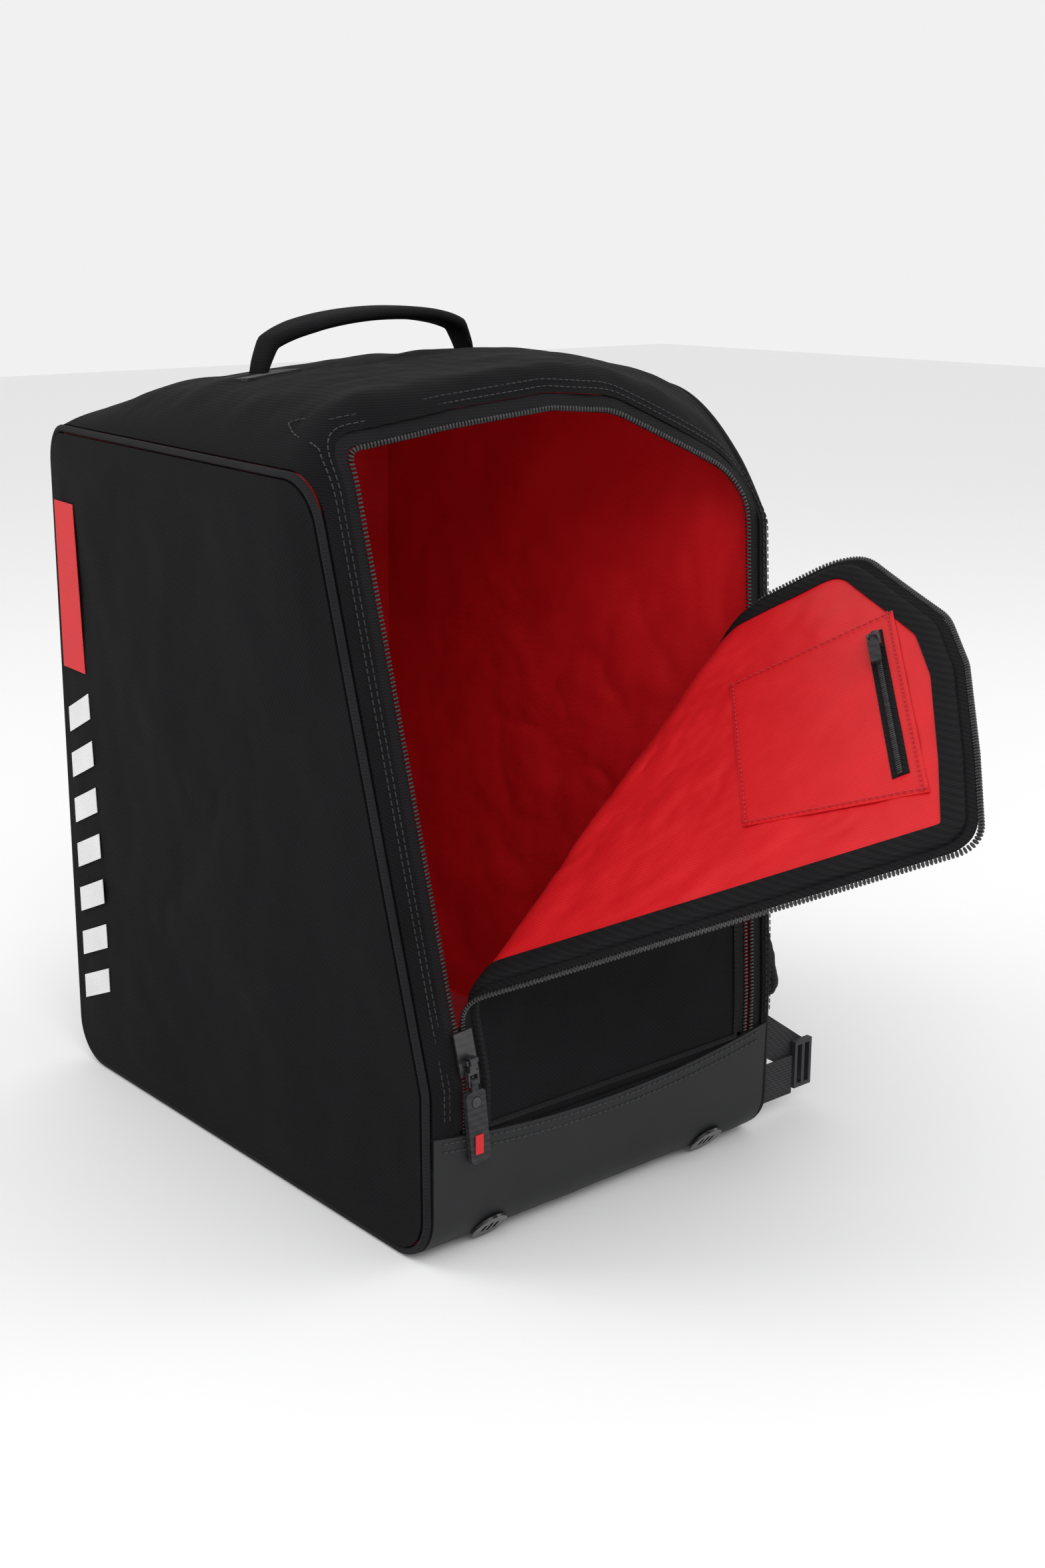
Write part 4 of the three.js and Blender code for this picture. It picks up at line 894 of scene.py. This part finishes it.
    def seams(self) -> None:
        """Rows of topstitching on the base hem and beside the zip."""
        for row, drop in (("upper", 0.003), ("lower", 0.008)):
            x = np.linspace(-FORM.half_width + 0.010, FORM.half_width - 0.010, 200)
            z = 0.076 - self.hem(x) - drop
            line = spaced(np.stack([x, np.full(200, FORM.front - 0.0014), z], axis=1), 0.0042)
            out = np.tile([0.0, -1.0, 0.0], (len(line), 1))
            rows = repeated(f"base_stitches_{row}", (0.003, 0.0007, 0.0006), line, along(line), out, THREAD)
            settle(rows, "bag", "rubberised_base")
        for row, inset in (("inner", -0.003), ("outer", -0.0065)):
            run = MOUTH.run(inset, 0.005, 0.082, 500, False)
            line = spaced(FORM.face(run[:, 0], run[:, 1], 0.0), 0.004)
            out = np.tile([0.0, -0.95, 0.3], (len(line), 1))
            raised, way = line + out * 0.0004, along(line)
            rows = repeated(f"mouth_stitches_{row}", (0.0028, 0.0006, 0.0007), raised, way, out, THREAD)
            settle(rows, "bag", "woven_shell")
        LOG.info("seams: four rows of stitches")


@dataclass
class Lining:
    """The red nylon inside the bag."""

    depth: float = 0.0042
    side: float = 0.0055
    thickness: float = 0.001

    def build(self) -> None:
        """Makes the lining's five parts."""
        shell = Shell()
        foot, over = FORM.share_at(0.05, True), FORM.share_at_depth(0.158)
        soft = Wrinkle(0.007, 9, (1, 1.6, 1), 11.0, inward=True)
        front = shell.wrap("lining_front_and_top", foot, over, (150, 70), NYLON, (0, -1, 1), self.depth,
                           self.thickness, soft, self.side)
        shell.open_mouth(front, 0.0)
        finish_mesh(front, "lining_front_and_top", NYLON)
        settle(front, "bag", "red_lining", "lining")
        low = FORM.share_at(0.05, False)
        rear = shell.wrap("lining_rear", over, low, (110, 60), NYLON, (0, 1, 0), self.depth,
                          self.thickness, soft, self.side)
        settle(rear, "bag", "red_lining")
        settle(self.floor(), "bag", "red_lining")
        for name, side in (("lining_side", Side.PLAIN), ("lining_back", Side.BACK)):
            wall = shell.panel(name, side, NYLON, self.depth, self.side, self.thickness,
                               Wrinkle(0.006, 8, seed=13.0, inward=True))
            settle(wall, "bag", "red_lining")
        LOG.info("lining: five parts")

    def floor(self) -> bpy.types.Object:
        """The lining under the base board."""
        start, end = FORM.share_at(0.05, False) - 1, FORM.share_at(0.05, True)
        ring = FORM.outline(self.depth, 0, 1, OUTLINE_STEPS)
        steps = np.linspace(0, 1, OUTLINE_STEPS)

        def place(u: np.ndarray, v: np.ndarray) -> np.ndarray:
            """Gives the place of a point of the grid."""
            at = (start + (end - start) * u) % 1
            y, z = np.interp(at, steps, ring[:, 0]), np.interp(at, steps, ring[:, 1])
            return FORM.skin(y, z, 2 * v - 1, self.depth, self.side)

        return cloth("lining_floor", (110, 50), place, NYLON, (0, 0, -1), self.thickness)


@dataclass
class FrontPanel:
    """The front panel with its open corner, binding, lining and pocket."""

    least: float = 0.014
    hem: float = 0.0712
    rounds: int = 360
    pocket_depth: float = 0.0056
    centre: np.ndarray = field(default_factory=lambda: np.array([0.005, 0.245]))

    def blended(self, piece: bpy.types.Object, slot: str, *nodes: str) -> None:
        """Bakes the transform of a piece already rolled over the crease and hides the parts it stands for.
        """
        origin, _, up, out = MOUTH.crease()
        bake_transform(piece)
        if nodes:
            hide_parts(*nodes)

    def layer(self, name: str, inset: float, depth: float, look: Finish, thickness: float,
              wrinkle: Wrinkle | None) -> bpy.types.Object:
        """One layer of the panel, rolled over at the crease."""
        ring = MOUTH.run(inset, self.least, self.hem, self.rounds, True)
        fill = disc(ring, self.centre)

        def place(u: np.ndarray, v: np.ndarray) -> np.ndarray:
            """Gives the place of a point of the grid."""
            p = fill(u, v)
            return MOUTH.folded(FORM.face(p[:, 0], p[:, 1], depth))

        return cloth(name, (200, 90), place, look, (0, -1, 0.2), thickness, wrinkle, wrapped=True, fade=0.16)

    def ribbon(self, name: str, profile: Sequence[tuple[float, float]], look: Finish) -> bpy.types.Object:
        """A band that follows the panel's edge.

        Args:
            name: the piece's name.
            profile: how far in and how deep each line of the band lies.
            look: the finish.

        Returns:
            The finished piece.
        """
        ring = MOUTH.run(MOUTH.flap_edge, self.least, self.hem, self.rounds, True)
        way = along(ring, True)
        inward = np.stack([way[:, 1], -way[:, 0]], axis=1)
        lines = []
        for inset, depth in profile:
            flat = ring + inward * inset
            lines.append(MOUTH.folded(FORM.face(flat[:, 0], flat[:, 1], max(depth, 0.0))
                                      + np.array([0, min(depth, 0.0), 0])))
        table = np.stack([np.vstack([line, line[:1]]) for line in lines], axis=1)
        last = table.shape[1] - 1

        def place(u: np.ndarray, v: np.ndarray) -> np.ndarray:
            """Gives the place of a point of the grid."""
            i = np.clip(np.round(u * self.rounds).astype(int), 0, self.rounds)
            return table[i, np.clip(np.round(v * last).astype(int), 0, last)]

        piece = cloth(name, (self.rounds, last), place, look, (0, -1, 0))
        edit_all(piece, lambda: bpy.ops.mesh.remove_doubles(threshold=MERGE))
        apply_modifier(piece, "SOLIDIFY", thickness=0.0006, offset=0.0)
        return finish_mesh(piece, name, look, 60)

    def pocket(self) -> None:
        """The zipped pocket on the lining, with its stitching."""
        high, low, lean = 0.404, 0.308, 0.28
        left, right = -0.084, 0.064

        def spot(a: np.ndarray, b: np.ndarray) -> tuple[np.ndarray, np.ndarray]:
            """A point of the piece."""
            z = low + (high - low) * b
            first = left + (high - z) * lean
            second = right - (high - z) * lean * 0.2
            return first + (second - first) * a, z

        def place(u: np.ndarray, v: np.ndarray) -> np.ndarray:
            """Gives the place of a point of the grid."""
            x, z = spot(u, v)
            return MOUTH.folded(FORM.face(x, z, self.pocket_depth))

        _, _, up, out = MOUTH.crease()
        inner = -(-math.sin(MOUTH.fold) * up + math.cos(MOUTH.fold) * out)
        soft = Wrinkle(0.0008, 16, seed=21.0)
        sheet = cloth("pocket_cover", (90, 60), place, NYLON, inner, 0.0007, soft, fade=0.1)
        settle(sheet, "front_corner", "red_lining", "pocket_panel")
        t = np.linspace(0, 1, 80)
        along_sides = [(t, np.full(80, share)) for share in (0.02, 0.97)]
        edges = along_sides + [(np.full(80, share), t) for share in (0.015, 0.985)]
        marks = []
        for a, b in edges:
            x, z = spot(a, b)
            marks.append(spaced(MOUTH.folded(FORM.face(x, z, self.pocket_depth + 0.0004)), 0.0036))
        line = np.vstack(marks)
        ways = np.vstack([along(m) for m in marks])
        settle(repeated("pocket_stitches", (0.0026, 0.0007, 0.0008), line + inner * 0.0006, ways,
                        np.tile(inner, (len(line), 1)), RED_THREAD), "front_corner", "red_lining")

    def hem_strip(self) -> None:
        """The panel's turned-in foot, sewn behind the dipping hem of the base."""
        reach, low, high, depth = 0.106, 0.054, 0.0735, 0.0012

        def place(u: np.ndarray, v: np.ndarray) -> np.ndarray:
            """Gives the place of a point of the grid."""
            return FORM.face((2 * u - 1) * reach, low + (high - low) * v, depth)

        settle(cloth("hem_strip", (60, 8), place, WOVEN, (0, -1, 0.2), 0.001), "bag", "woven_shell")

    def build(self) -> None:
        """Makes and dresses the front panel."""
        edge = MOUTH.flap_edge
        outer = self.layer("front_cover", edge, 0.0, WOVEN, 0.002, Wrinkle(0.004, 7, seed=3.0))
        self.blended(outer, "woven_shell", "front_panel_lower", "front_panel_corner")
        inner = self.layer("front_lining_cover", edge + 0.001, 0.0034, NYLON, 0.0007,
                           Wrinkle(0.0022, 14, (1, 1.5, 1), 17.0, inward=True))
        self.blended(inner, "red_lining", "front_lining_lower", "front_lining_corner")
        wrap = [(0.003, -0.0006), (0.0005, -0.0008), (-0.001, 0.0006), (-0.0013, 0.0022), (-0.0008, 0.0040),
                (0.0006, 0.0050), (0.0040, 0.0053), (0.0080, 0.0053), (0.0108, 0.0050)]
        self.blended(self.ribbon("front_binding", wrap, BINDING), "binding",
                     "front_binding_lower", "front_binding_corner")
        self.pocket()
        self.hem_strip()
        LOG.info("front panel: cover, lining, binding and pocket")


@dataclass
class MainZip:
    """The coil zip's tapes and turns."""

    pitch: float = 0.0021

    def strip(self, name: str, inner: float, outer: float, depth: float, least: float, foot: float,
              folded: bool) -> bpy.types.Object:
        """A flat tape between two insets."""
        count = 420
        mid = MOUTH.run((inner + outer) / 2, least, foot, count + 1, False)
        way = along(mid)
        inward = np.stack([way[:, 1], -way[:, 0]], axis=1)
        half = (outer - inner) / 2

        def place(u: np.ndarray, v: np.ndarray) -> np.ndarray:
            """Gives the place of a point of the grid."""
            i = np.clip(np.round(u * count).astype(int), 0, count)
            flat = mid[i] + inward[i] * ((2 * v - 1) * half)[:, None]
            points = FORM.face(flat[:, 0], flat[:, 1], depth)
            return MOUTH.folded(points) if folded else points

        return cloth(name, (count, 4), place, TAPE, (0, -1, 0.2), 0.0009)

    def turns(self, name: str, inset: float, least: float, foot: float, folded: bool) -> bpy.types.Object:
        """The coil's turns along a run.

        Args:
            name: the piece's name.
            inset: the coil's middle, in from the fabric edge.
            least: smallest corner radius.
            foot: lower end.
            folded: whether the corner's roll applies.

        Returns:
            The finished piece.
        """
        run = MOUTH.run(inset, least, foot, 1400, False)
        closed = spaced(FORM.face(run[:, 0], run[:, 1], 0.0013), self.pitch)
        ahead = closed + along(closed) * 0.0005
        outward = closed + np.tile(unit(np.array([0, -1, 0.14])), (len(closed), 1)) * 0.0005
        base = MOUTH.folded(closed) if folded else closed
        ways = (MOUTH.folded(ahead) if folded else ahead) - base
        outs = (MOUTH.folded(outward) if folded else outward) - base
        return repeated(name, (0.00135, 0.0031, 0.0024), base, ways, outs, COIL, 0.32)

    def build(self) -> None:
        """Makes both sides of the zip."""
        foot = 0.0715
        tape = self.strip("bag_tape", 0.0003, 0.0066, 0.0012, 0.006, foot, False)
        settle(tape, "bag", "zip_tape", "zip_tape_bag")
        settle(self.turns("bag_coil", 0.0081, 0.006, foot, False), "bag", "zip_coil", "zip_coil_bag")
        panel = FrontPanel()
        tape = self.strip("flap_tape", 0.0146, 0.0214, 0.0012, 0.014, foot, True)
        panel.blended(tape, "zip_tape", "zip_tape_corner", "zip_tape_lower_left", "zip_tape_lower_right")
        coil = self.turns("flap_coil", 0.0131, 0.014, foot, True)
        panel.blended(coil, "zip_coil", "zip_coil_corner", "zip_coil_lower_left", "zip_coil_lower_right")
        pocket = self.pocket_zip()
        self.pull_mark()
        LOG.info("zip: two tapes, two coils, %s pocket pieces", pocket)

    def pull_mark(self) -> None:
        """A plain red bar moulded low on the left pull."""
        low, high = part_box("left_pull")
        middle, foot = (low[0] + high[0]) / 2, low[2] + 0.006
        half, tall, front = 0.0026, 0.011, low[1] - 0.0002

        def place(u: np.ndarray, v: np.ndarray) -> np.ndarray:
            """Gives the place of a point of the grid."""
            return np.stack([middle + (2 * u - 1) * half, np.full(len(u), front), foot + v * tall], axis=1)

        settle(cloth("pull_mark", (4, 8), place, RED_INK, (0, -1, 0), 0.0005), "left_pull", "pull_rubber")

    def pocket_zip(self) -> int:
        """The pocket's own tape and coil."""
        z = 0.392
        x = np.linspace(-0.066, 0.051, 120)
        _, _, up, out = MOUTH.crease()
        inner = -(-math.sin(MOUTH.fold) * up + math.cos(MOUTH.fold) * out)

        def place(u: np.ndarray, v: np.ndarray) -> np.ndarray:
            """Gives the place of a point of the grid."""
            across = np.interp(u, np.linspace(0, 1, 120), x)
            return MOUTH.folded(FORM.face(across, z + (v - 0.5) * 0.009, 0.0066))

        settle(cloth("pocket_tape", (100, 3), place, TAPE, inner, 0.0009), "front_corner", "zip_tape",
               "pocket_zip_tape")
        line = spaced(MOUTH.folded(FORM.face(x, np.full(120, z), 0.0075)), 0.0016)
        outs = np.tile(inner, (len(line), 1))
        turns = repeated("pocket_coil", (0.001, 0.003, 0.0015), line, along(line), outs, COIL)
        settle(turns, "front_corner", "zip_coil", "pocket_zip_coil")
        return 2


@dataclass
class Handle:
    """The padded grab handle."""

    y: float = 0.030
    span: float = 0.150
    rise: float = 0.020
    width: float = 0.034
    thickness: float = 0.008
    reach: float = 0.010

    def build(self) -> None:
        """Makes the handle as one flattened, arched roll."""

        low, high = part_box("carry_handle")
        middle = high[2] - self.thickness / 2 - self.rise
        slant = 0.0036

        def place(u: np.ndarray, v: np.ndarray) -> np.ndarray:
            """Gives the place of a point of the grid."""
            t = 2 * u - 1
            bow = np.maximum(0, 1 - t * t) ** 0.5
            rest = middle - slant + 2 * slant * u - self.reach * np.clip((np.abs(t) - 0.9) / 0.1, 0, 1)
            tilt = np.arctan2(self.rise * 1.6 * t, self.span / 2)
            a = 2 * np.pi * v
            wide = (self.width / 2) * (1 - 0.5 * np.clip((np.abs(t) - 0.6) / 0.4, 0, 1))
            across = np.sign(np.cos(a)) * np.abs(np.cos(a)) ** 0.55 * wide
            thick = np.sin(a) * self.thickness / 2
            x = t * self.span / 2 + thick * np.sin(tilt)
            z = rest + self.rise * bow + thick * np.cos(tilt)
            return np.stack([x, self.y + across, z], axis=1)

        piece = cloth("handle_grip", (90, 28), place, WOVEN, (0, 0, 1))
        edit_all(piece, lambda: bpy.ops.mesh.remove_doubles(threshold=MERGE),
                 lambda: bpy.ops.mesh.fill_holes(sides=0),
                 lambda: bpy.ops.mesh.normals_make_consistent(inside=False))
        finish_mesh(piece, "handle_grip", WOVEN)
        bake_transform(piece)
        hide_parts("carry_handle")
        LOG.info("handle")


@dataclass
class Harness:
    """The back pad and the two padded shoulder straps."""

    soft: float = 0.004

    def pillow(self, node: str, name: str, body: str) -> None:
        """A soft, rounded version of a padded part, remeshed and smoothed from a copy of its own mesh.

        Args:
            node: the part it stands for.
            name: the piece's name.
            body: what it rides on.
        """
        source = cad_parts[node]
        piece = bpy.data.objects.new(name, source.data.copy())
        bpy.context.scene.collection.objects.link(piece)
        piece.data.transform(source.matrix_world)
        edit_all(piece, lambda: bpy.ops.mesh.remove_doubles(threshold=1e-5),
                 lambda: bpy.ops.mesh.normals_make_consistent(inside=False))
        apply_modifier(piece, "REMESH", mode="VOXEL", voxel_size=0.0028)
        apply_modifier(piece, "SMOOTH", factor=0.6, iterations=6)
        finish_mesh(piece, name, PADDED, 60)
        settle(piece, body, "padded_mesh", node)

    def build(self) -> None:
        """Makes the pad and both straps."""
        self.pillow("back_pad", "back_cushion", "bag")
        self.pillow("shoulder_strap_front", "strap_pad_front", "strap_front")
        self.pillow("shoulder_strap_rear", "strap_pad_rear", "strap_rear")
        LOG.info("harness: back cushion and two straps")


@dataclass
class SidePrint:
    """A plain block and slanted bars printed near the rear of the plain side."""

    rise: float = 0.0008

    def patch(self, name: str, corners: Sequence[tuple[float, float]], look: Finish) -> None:
        """A printed shape with four corners in Y and Z."""
        (ay, az), (by, bz), (cy, cz), (dy, dz) = corners

        def place(u: np.ndarray, v: np.ndarray) -> np.ndarray:
            """Gives the place of a point of the grid."""
            y = (ay * (1 - u) + by * u) * (1 - v) + (dy * (1 - u) + cy * u) * v
            z = (az * (1 - u) + bz * u) * (1 - v) + (dz * (1 - u) + cz * u) * v
            points = FORM.skin(y, z, np.full(len(u), -1.0), 0.0062, 0.0)
            reach = np.maximum(np.abs(y) / 0.184, np.abs(z - FORM.height / 2) / (FORM.height / 2 - 0.006))
            points[:, 0] -= 0.003 * np.cos(np.clip(reach, 0, 1) * np.pi / 2) ** 1.5 + self.rise + 0.0015
            return points

        settle(cloth(name, (14, 24), place, look, (-1, 0, 0), 0.0004), "bag", "woven_shell")

    def build(self) -> None:
        """Prints the block and the bars."""
        self.patch("print_block", [(0.178, 0.268), (0.142, 0.268), (0.142, 0.372), (0.178, 0.372)], RED_INK)
        for i in range(7):
            z = 0.046 + i * 0.030
            corners = [(0.174, z), (0.140, z + 0.014), (0.140, z + 0.030), (0.174, z + 0.016)]
            self.patch(f"print_bar_{i}", corners, WHITE_INK)
        LOG.info("side print: a block and seven bars")


def dress_frame() -> None:
    """Gives each carried-over part its material."""
    for node, look in NODE_FINISHES.items():
        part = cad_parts[node]
        part.data.materials.clear()
        part.data.materials.append(look.material())
    LOG.info("frame: %d parts dressed", len(NODE_FINISHES))


@dataclass(frozen=True)
class Studio:
    """Floor, light and camera."""

    azimuth: float = math.radians(-40.06)
    elevation: float = math.radians(15.59)
    place: tuple[float, float, float] = (-0.70235, -0.94917, 0.53309)
    lens: float = 45.92

    def light(self, name: str, at: Sequence[float], size: float, power: float) -> None:
        """A soft panel of light aimed at the bag."""
        data = bpy.data.lights.new(name, "AREA")
        data.size, data.energy = size, power
        lamp = bpy.data.objects.new(name, data)
        bpy.context.scene.collection.objects.link(lamp)
        lamp.location = at
        lamp.rotation_euler = (Vector((0, 0, 0.22)) - Vector(at)).to_track_quat("-Z", "Y").to_euler()

    def build(self) -> None:
        """Sets the floor, the lights, the sky and the camera."""
        bpy.ops.object.select_all(action="DESELECT")
        bpy.ops.mesh.primitive_plane_add(size=12, location=(0, 0, -0.0006))
        floor = bpy.context.object
        floor.name = "floor"
        mat = bpy.data.materials.new("pale_floor")
        mat.use_nodes = True
        mat.node_tree.nodes["Principled BSDF"].inputs["Base Color"].default_value = (0.88, 0.88, 0.88, 1)
        mat.node_tree.nodes["Principled BSDF"].inputs["Roughness"].default_value = 0.9
        floor.data.materials.append(mat)
        world = bpy.data.worlds.new("studio")
        world.use_nodes = True
        world.node_tree.nodes["Background"].inputs["Color"].default_value = (0.88, 0.88, 0.88, 1)
        world.node_tree.nodes["Background"].inputs["Strength"].default_value = 1.0
        bpy.context.scene.world = world
        bpy.context.scene.view_settings.view_transform = "Standard"
        self.light("key", (-0.9, -1.6, 1.7), 1.2, 15)
        self.light("fill", (1.7, -1.1, 1.1), 1.4, 9)
        self.light("rim", (-1.3, 1.2, 1.5), 1.0, 10)
        data = bpy.data.cameras.new("camera")
        data.lens, data.sensor_width, data.sensor_fit = self.lens, 36.0, "AUTO"
        camera = bpy.data.objects.new("camera", data)
        bpy.context.scene.collection.objects.link(camera)
        a, e = self.azimuth, self.elevation
        back = Vector((math.sin(a) * math.cos(e), -math.cos(a) * math.cos(e), math.sin(e)))
        camera.location = self.place
        camera.rotation_euler = (-back).to_track_quat("-Z", "Y").to_euler()
        bpy.context.scene.camera = camera
        LOG.info("studio")


def main() -> None:
    """Builds the bag in order."""
    dress_frame()
    for part in (Shell(), Lining(), FrontPanel(), MainZip(), Handle(), Harness(), SidePrint(), Studio()):
        part.build()


if __name__ == "__main__":
    main()
